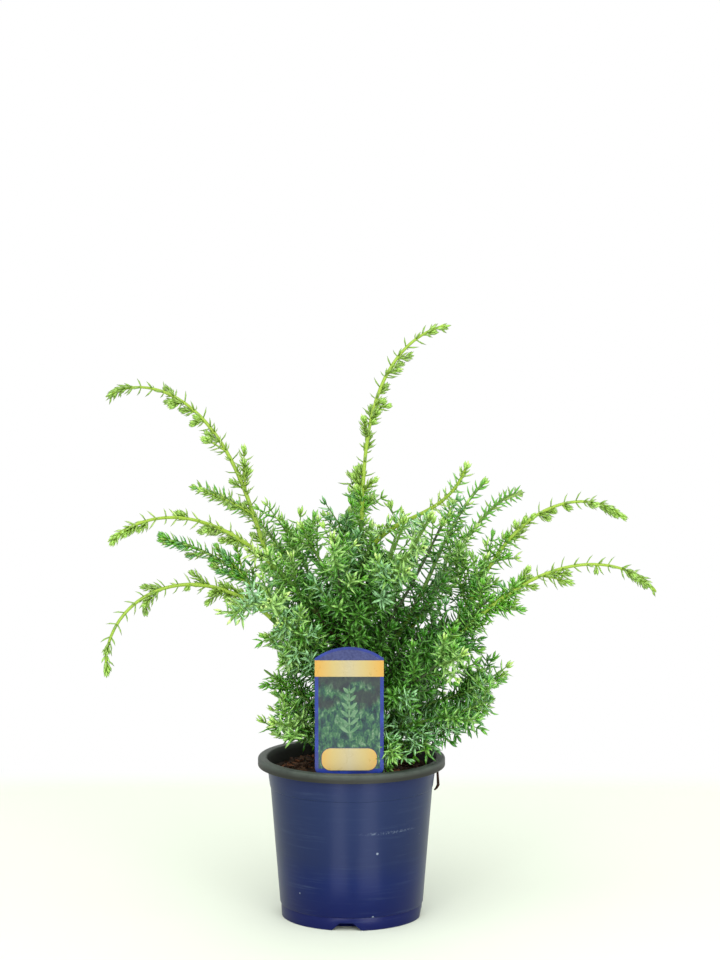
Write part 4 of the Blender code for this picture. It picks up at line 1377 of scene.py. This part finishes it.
for name, (line, start, end, *radii) in stems.items():
    first = start if not in_tier(name) else 0.0
    goes_on = end < run_length(line) - 0.001
    add_sprigs([along(line, evenly(first, end, STEM_PITCH))], radii, "stem", name, goes_on)
    chance = random.Random(f"{SEED} {name}")
    add_branch(name, plan_twigs(name, stems[name], space, chance), chance)
    chance = random.Random(f"{SEED} {name} between")
    spacing = FILL_SPACING * (0.6 if name in FACING else 1.0)
    add_branch(name, plan_fill(name, line, start, end, spacing, TIER_TWIG, space, chance), chance)
    if is_leader(name) or name == "mass_left":
        add_sprigs(plan_tufts(line, start, end, chance), TUFT_RADII, "tuft", name)
for name, (line, start, end, *radii) in boughs.items():
    chance = random.Random(f"{SEED} {name}")
    add_sprigs([along(line, evenly(start, end, STEM_PITCH))], radii, "bough", name, True)
    spacing = BOUGH_SPACING * (0.65 if name in FACING or name in HANGING else 1.0)
    add_branch(name, plan_fill(name, line, start, end + 0.03, spacing, BOUGH_TWIG, space, chance), chance)
chance = random.Random(f"{SEED} trunk")
twigs = plan_fill("trunk", TRUNK, TRUNK_BARE, TRUNK_LENGTH, TRUNK_SPACING, BOUGH_TWIG, space, chance)
add_branch("trunk", twigs, chance)
trunk_line = along(TRUNK, evenly(TRUNK_BARE, TRUNK_LENGTH - 0.002, STEM_PITCH))
add_sprigs([trunk_line], (0.0062, 0.0036), "bough", "trunk", True)
SHORT_SHOOT = 0.024
SIDE_SHOOTS = (  # shoots that stand out from the crown: across and up of the foot, then of the tip
    (-0.0952, 0.3875, -0.0969, 0.4328), (-0.0908, 0.3685, -0.1412, 0.3921),
    (-0.1162, 0.3504, -0.1425, 0.3513), (-0.1251, 0.3045, -0.1493, 0.3186),
    (-0.1150, 0.2967, -0.1353, 0.2820), (-0.0999, 0.2867, -0.1106, 0.2707),
    (-0.1448, 0.3057, -0.1510, 0.2939), (-0.0203, 0.3376, -0.0299, 0.3693),
    (0.0059, 0.3765, 0.0014, 0.3976), (0.0084, 0.3852, 0.0259, 0.4032),
    (0.0115, 0.3714, 0.0367, 0.3877), (0.0211, 0.3529, 0.0357, 0.3678),
    (0.0312, 0.3098, 0.0725, 0.3703), (0.1252, 0.3304, 0.1402, 0.3535),
    (0.1313, 0.3211, 0.1575, 0.3288), (0.1456, 0.2985, 0.1628, 0.3227),
    (0.1280, 0.2779, 0.1598, 0.2805), (0.1728, 0.3103, 0.2032, 0.3037),
    (0.1083, 0.2578, 0.1237, 0.2614), (0.1125, 0.2117, 0.1475, 0.2330),
    (0.1247, 0.2138, 0.1401, 0.2166), (0.1146, 0.1962, 0.1274, 0.1889),
    (0.0974, 0.1775, 0.1157, 0.1806), (0.1005, 0.1692, 0.1118, 0.1608),
    (-0.0732, 0.2537, -0.0904, 0.2464), (-0.0611, 0.2107, -0.0855, 0.2105),
    (-0.0713, 0.1889, -0.0866, 0.1827), (-0.0694, 0.1733, -0.0836, 0.1666),
    (-0.0993, 0.3078, -0.1193, 0.3376), (-0.0912, 0.3150, -0.1052, 0.3468),
    (-0.0861, 0.3047, -0.1305, 0.3232), (0.0909, 0.2995, 0.0999, 0.3406),
    (0.0808, 0.3047, 0.0878, 0.3334), (0.1010, 0.3047, 0.1191, 0.3283),
    (0.0708, 0.2686, 0.0859, 0.2954), (0.0859, 0.2738, 0.1001, 0.2913),
    (0.0395, 0.1653, 0.0486, 0.1385), (0.0485, 0.1626, 0.0604, 0.1367),
    (0.0576, 0.1653, 0.0713, 0.1376), (0.0666, 0.1681, 0.0813, 0.1423),
    (0.0758, 0.1718, 0.0912, 0.1533), (0.0848, 0.1773, 0.1003, 0.1570),
    (-0.1795, 0.4814, -0.1875, 0.4846), (-0.1518, 0.4685, -0.1690, 0.4685),
    (-0.1518, 0.4670, -0.1662, 0.4629), (-0.1331, 0.4517, -0.1491, 0.4472),
    (-0.1349, 0.4526, -0.1456, 0.4562), (-0.1117, 0.4225, -0.1369, 0.4382),
    (-0.0920, 0.4034, -0.0863, 0.4102), (-0.1028, 0.4034, -0.0988, 0.4111),
    (-0.1087, 0.3776, -0.1192, 0.3758), (-0.1119, 0.3821, -0.1173, 0.3894),
    (-0.1471, 0.3662, -0.1633, 0.3694), (-0.1489, 0.3658, -0.1597, 0.3731),
    (-0.1146, 0.3225, -0.1329, 0.3276), (-0.1697, 0.3032, -0.1936, 0.3012),
    (-0.1822, 0.2919, -0.1870, 0.2719), (-0.2037, 0.2738, -0.2128, 0.2747),
    (-0.1080, 0.2986, -0.1231, 0.3085), (0.0426, 0.5067, 0.0498, 0.5057),
    (0.0363, 0.4919, 0.0484, 0.4994), (0.0256, 0.4622, 0.0342, 0.4733),
    (0.0265, 0.4600, 0.0395, 0.4675), (0.0173, 0.4484, 0.0252, 0.4553),
    (0.0023, 0.3897, -0.0025, 0.4075), (0.1885, 0.3758, 0.2016, 0.3703),
    (0.1885, 0.3758, 0.1966, 0.3817), (0.1688, 0.3658, 0.1841, 0.3613),
    (0.1491, 0.3540, 0.1457, 0.3649), (0.1320, 0.3455, 0.1410, 0.3545),
    (0.2223, 0.3185, 0.2209, 0.3089), (0.0801, 0.2233, 0.1036, 0.2417),
    (0.0892, 0.2233, 0.1239, 0.2440), (0.0910, 0.2142, 0.1209, 0.2298),
    (0.0947, 0.2050, 0.1182, 0.2188), (0.0908, 0.2875, 0.0824, 0.3513),
    (0.0998, 0.2875, 0.0942, 0.3458), (-0.0374, 0.3331, -0.0391, 0.3676),
    (-0.0599, 0.3395, -0.0813, 0.3830), (-0.0437, 0.3331, -0.0451, 0.3758),
    (-0.0103, 0.3395, -0.0276, 0.3839), (-0.0916, 0.2966, -0.1168, 0.3076),
    (-0.0862, 0.2893, -0.1042, 0.3021), (-0.0943, 0.3030, -0.1132, 0.3158),
    (0.1554, 0.3585, 0.1584, 0.3690), (0.1625, 0.3631, 0.1683, 0.3703),
    (0.1359, 0.2966, 0.1336, 0.3067), (0.1440, 0.3021, 0.1457, 0.3121),
    (0.1142, 0.2893, 0.1068, 0.3367), (0.1001, 0.2068, 0.1073, 0.2307),
    (0.1073, 0.2197, 0.1136, 0.2390), (0.0874, 0.2307, 0.0963, 0.2481),
    (-0.1041, 0.3294, -0.1256, 0.3440), (-0.0950, 0.3358, -0.1130, 0.3467),
    (-0.1166, 0.3431, -0.1319, 0.3504), (-0.0897, 0.3103, -0.1095, 0.3212),
    (0.0905, 0.3604, 0.1003, 0.3876), (0.0798, 0.3395, 0.0914, 0.3731),
    (0.0654, 0.3367, 0.0743, 0.3676), (0.0938, 0.1976, 0.1055, 0.2160),
    (0.0802, 0.2160, 0.0910, 0.2344), (0.1001, 0.2233, 0.1054, 0.2435),
    (-0.0050, 0.2509, -0.0230, 0.2783), (-0.0176, 0.2454, -0.0321, 0.2692),
    (0.0005, 0.2527, -0.0104, 0.2857), (-0.0267, 0.2527, -0.0411, 0.2838),
    (0.0077, 0.2527, 0.0041, 0.2838), (-0.0122, 0.2619, -0.0194, 0.2966),
)
chance = random.Random(f"{SEED} side shoots")
lines = {}
for name, (line, start, end, *_) in {**stems, **boughs}.items():
    lines[name] = along(line, evenly(start, end, 0.004))
for ends in SIDE_SHOOTS:
    shoot, name = plan_side_shoot(*ends, lines, chance)
    if crown_share(shoot[-1]) > CROWN_EDGE and run_length(shoot) < SHORT_SHOOT:
        add_sprigs([shoot], (0.0007, 0.0004), "tuft", name)
    elif crown_share(shoot[-1]) > 1.25:
        add_sprigs([shoot], (0.0011, 0.0006), "shoot", name)
        tufts = plan_tufts(shoot, 0.006, run_length(shoot) - 0.006, chance)
        add_sprigs([tuft[:4] for tuft in tufts], (0.0005, 0.0004), "tuft", name)
    else:
        add_sprigs([shoot], (0.0009, 0.0005), "twig", name)
        add_sprigs(plan_fine("side", shoot, space, chance), (0.0005, 0.0003), "fine", name)


def twig_finish(name, shade):
    finish, tree, shader = new_finish(name, 0.6)
    shader.inputs["Base Color"].default_value = shade
    return finish


twig_finishes = [
    twig_finish("young_stem", colour(136, 166, 48)),
    twig_finish("green_stem", colour(88, 126, 40)),
    twig_finish("brown_stem", colour(52, 66, 32)),
]
lines = []
for points, thick, thin, kind, goes_on, name in sprigs:
    if kind == "bough":
        continue
    depth = float(crown_share(points[len(points) // 2]))
    leads = is_leader(name) or name == "mass_front_right"
    leading = depth > 1.0 and (kind in ("shoot", "tuft") or kind == "stem" and leads)
    finish = 0 if leading else 1 if depth > 0.5 else 2
    radii = np.linspace(thick, thin, len(points))
    if not goes_on:
        radii[-1] *= 0.5
    lines.append((points, radii, finish))
twigs_piece = place("twigs", tube("twigs", lines, 6, twig_finishes))
twigs_piece.data.shade_smooth()
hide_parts(*stems)
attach(twigs_piece, "root")


# The needles
# Flat pointed needles in whorls of three, each whorl turned by half a step from the last. They stand out
# from older stems, lie closed over the tips, and are paler on the side that faces the tip.

NEEDLE_KEEL = 0.55
NEEDLES_INTO_GAP = 0.75
CLOSED_ANGLE = 13
CLOSED_LENGTH = 0.58
CLOSED_WIDTH = 1.3
HABITS = {  # pitch of the whorls, the needles' lean, length and width, and how far from the tip they close up
    "leader": (0.0112, 60, 0.0104, 0.0021, 0.042),
    "brush": (0.0036, 54, 0.0100, 0.0023, 0.010),
    "stem": (0.0054, 68, 0.0120, 0.0023, 0.012),
    "bough": (0.0056, 66, 0.0118, 0.0020, 0.012),
    "twig": (0.0056, 69, 0.0121, 0.0023, 0.008),
    "shoot": (0.0050, 60, 0.0106, 0.0022, 0.013),
    "fine": (0.0056, 68, 0.0114, 0.0022, 0.007),
    "tuft": (0.0028, 34, 0.0088, 0.0023, 0.007),
}
TIGHTEST_PITCH = 0.0014
NEEDLE_COLOURS = {  # each kind's outer side and its paler inner side
    "fresh": (colour(146, 190, 76), colour(198, 228, 134)),
    "light": (colour(120, 158, 54), colour(172, 204, 106)),
    "young": (colour(110, 164, 50), colour(154, 200, 106)),
    "green": (colour(92, 164, 34), colour(138, 190, 92)),
    # The deepest kind's darker green is partly the inner foliage's own colour and partly painted shade
    "shaded_deep": (colour(52, 120, 16), colour(84, 146, 46)),
    "bloom": (colour(86, 146, 74), colour(144, 196, 136)),
}


def habit_at(points, mark, kind, name):
    if kind == "stem" and slender_habit(name) and crown_share(along(points, [mark])[0]) > CROWN_EDGE:
        return HABITS[slender_habit(name)]
    return HABITS[kind]


def whorls(points, kind, goes_on, name, chance):
    """Each whorl's distance along a line, its needles' lean, length and width, and how open it is."""
    whole = run_length(points)
    mark = HABITS[kind][0] * chance.uniform(0.3, 0.9)
    rows = []
    while mark < whole - (0.0 if goes_on else 0.0006):
        pitch, lean, length, width, reach = habit_at(points, mark, kind, name)
        opened = 1.0 if goes_on else min(1.0, (whole - mark) / reach)
        eased = opened * opened * (3 - 2 * opened)
        lean = CLOSED_ANGLE + (lean - CLOSED_ANGLE) * eased
        length = length * (CLOSED_LENGTH + (1 - CLOSED_LENGTH) * opened)
        width = width * (CLOSED_WIDTH + (1 - CLOSED_WIDTH) * opened)
        rows.append((mark, lean, length, width, opened))
        mark += max(TIGHTEST_PITCH, pitch * (0.2 + 0.8 * opened)) * chance.uniform(0.85, 1.15)
    return rows


BLOOM_SHARE = {  # how many of a limb's sprays wear a blue bloom, and elsewhere the rare share
    "high_3": 0.65, "front": 0.30, "front_left": 0.35, "front_right": 0.30, "low_1": 0.35, "low_2": 0.35,
    "low_7": 0.30, "left": 0.60}
RARE_BLOOM = 0.07
# How much the needles below the crown's middle count as lying deeper, which gives them painted shade
LOW_SHADE = 1.6


def shade_kind(opened, depth, tint, kind, name, chance):
    """Fresh at the tips, pale on long shoots, a blue bloom on some sprays, and a deeper green further in and
    lower down, partly painted shade.
    """
    if name == "mass_left" and depth > CROWN_EDGE:
        return chance.choice(("bloom", "green", "light"))
    if opened < 0.45 and depth > 0.85 and (kind in ("stem", "shoot", "tuft") or tint > 0.4):
        return "fresh"
    if depth > CROWN_EDGE and is_leader(name):
        return "light"
    if depth > CROWN_EDGE and slender_habit(name):
        return "light" if chance.random() < 0.4 else "green"
    if tint < BLOOM_SHARE.get(name.split("_", 1)[-1], RARE_BLOOM) and depth > 0.4:
        return "bloom"
    # Needles further in take the darkest green, partly painted shade for the crown's inside
    if depth + 0.3 * (tint - 0.5) + chance.gauss(0, 0.06) < 0.70:
        return "shaded_deep"
    if depth + 0.8 * (tint - 0.5) + chance.gauss(0, 0.05) < 0.98:
        return "green"
    return "young"


needles = {kind: [] for kind in NEEDLE_COLOURS}
chance = random.Random(SEED)
for points, thick, thin, kind, goes_on, name in sprigs:
    rows = whorls(points, kind, goes_on, name, chance)
    if len(rows) < 2:
        continue
    spots = along(points, [row[0] for row in rows])
    ways, sides, ups = frames(spots)
    depths = crown_share(spots)
    tint = chance.random()
    twist = chance.uniform(0, 120)
    for k, (mark, lean, length, width, opened) in enumerate(rows):
        # Painted shade: needles low in the crown count as deeper, so they take darker greens
        depth = depths[k] - LOW_SHADE * max(0.0, CROWN_CENTRE[2] - spots[k][2])
        shade = shade_kind(opened, depth, tint, kind, name, chance)
        radius = (thick + (thin - thick) * k / len(rows)) * (0.9 if kind == "bough" else 0.6)
        for needle in range(3):
            turn = math.radians(twist + 60 * k + 120 * needle + chance.gauss(0, 5))
            out = math.cos(turn) * sides[k] + math.sin(turn) * ups[k]
            leaning = math.radians(lean + chance.gauss(0, 5))
            reach = length * chance.uniform(0.85, 1.12)
            needles[shade].append((*(spots[k] + out * radius), *ways[k], *out, leaning, reach, width))

# Each needle is a three-sided blade: rings of three corners at its foot and its widest part, and a
# point. The first two corners of a ring edge the inner side, and the third is the keel behind. A ring is
# given by its share of the needle's length, its share of the width, and how far it bows.
RINGS = ((0.0, 0.80, 0.0), (0.55, 1.0, 0.01))


def needle_mesh(name, rows):
    """One mesh of needles, but for those that would leave the plant's box or fill a gap of sky."""
    rows = np.array(rows)
    foot, way, out, lean, length, width = np.split(rows, (3, 6, 9, 10, 11), axis=1)
    ahead = np.cos(lean) * way + np.sin(lean) * out
    tips = foot + ahead * length
    kept = ((tips > np.array(cad_box[0])) & (tips < np.array(cad_box[1]))).all(axis=1)
    kept &= ~in_sky_gap(tips, NEEDLES_INTO_GAP)
    foot, way, out, lean, length, width, ahead = (
        part[kept] for part in (foot, way, out, lean, length, width, ahead))
    inner = np.cos(lean) * out * -1.0 + np.sin(lean) * way
    across = np.cross(ahead, inner)
    points = []
    for share, wide, bow in RINGS:
        middle = foot + ahead * length * share - inner * length * bow
        half = width * wide / 2
        keel = width * wide * NEEDLE_KEEL
        points += [middle + across * half, middle - across * half, middle - inner * keel]
    points.append(foot + ahead * length + inner * length * 0.02)
    points = np.stack(points, axis=1)
    faces, inside = [], []
    for ring in range(len(RINGS) - 1):
        for corner_of in range(3):
            low, after = 3 * ring + corner_of, 3 * ring + (corner_of + 1) % 3
            faces += [(low, after, after + 3), (low, after + 3, low + 3)]
            inside += [corner_of == 0] * 2
    last = 3 * (len(RINGS) - 1)
    for corner_of in range(3):
        faces.append((last + corner_of, last + (corner_of + 1) % 3, last + 3))
        inside.append(corner_of == 0)
    faces.append((2, 1, 0))
    inside.append(False)
    count = len(foot)
    corners = (np.array(faces)[None] + np.arange(count)[:, None, None] * points.shape[1]).reshape(-1)
    mesh = bpy.data.meshes.new(name)
    mesh.vertices.add(count * points.shape[1])
    mesh.vertices.foreach_set("co", points.reshape(-1).astype(np.float32))
    mesh.loops.add(len(corners))
    mesh.loops.foreach_set("vertex_index", corners.astype(np.int32))
    mesh.polygons.add(len(corners) // 3)
    mesh.polygons.foreach_set("loop_start", np.arange(0, len(corners), 3, dtype=np.int32))
    mesh.polygons.foreach_set("material_index", np.tile(np.array(inside, np.int32), count))
    mesh.update(calc_edges=True)
    return mesh


for kind, rows in needles.items():
    finishes = []
    for side, shade in zip(("outer", "inner"), NEEDLE_COLOURS[kind]):
        finish, tree, shader = new_finish(f"{kind}_needle_{side}", 0.33)
        shader.inputs["Base Color"].default_value = shade
        shader.inputs["Specular IOR Level"].default_value = 0.75
        finishes.append(finish)
    piece = place(f"needles_{kind}", needle_mesh(f"needles_{kind}", rows), *finishes)
    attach(piece, "root")
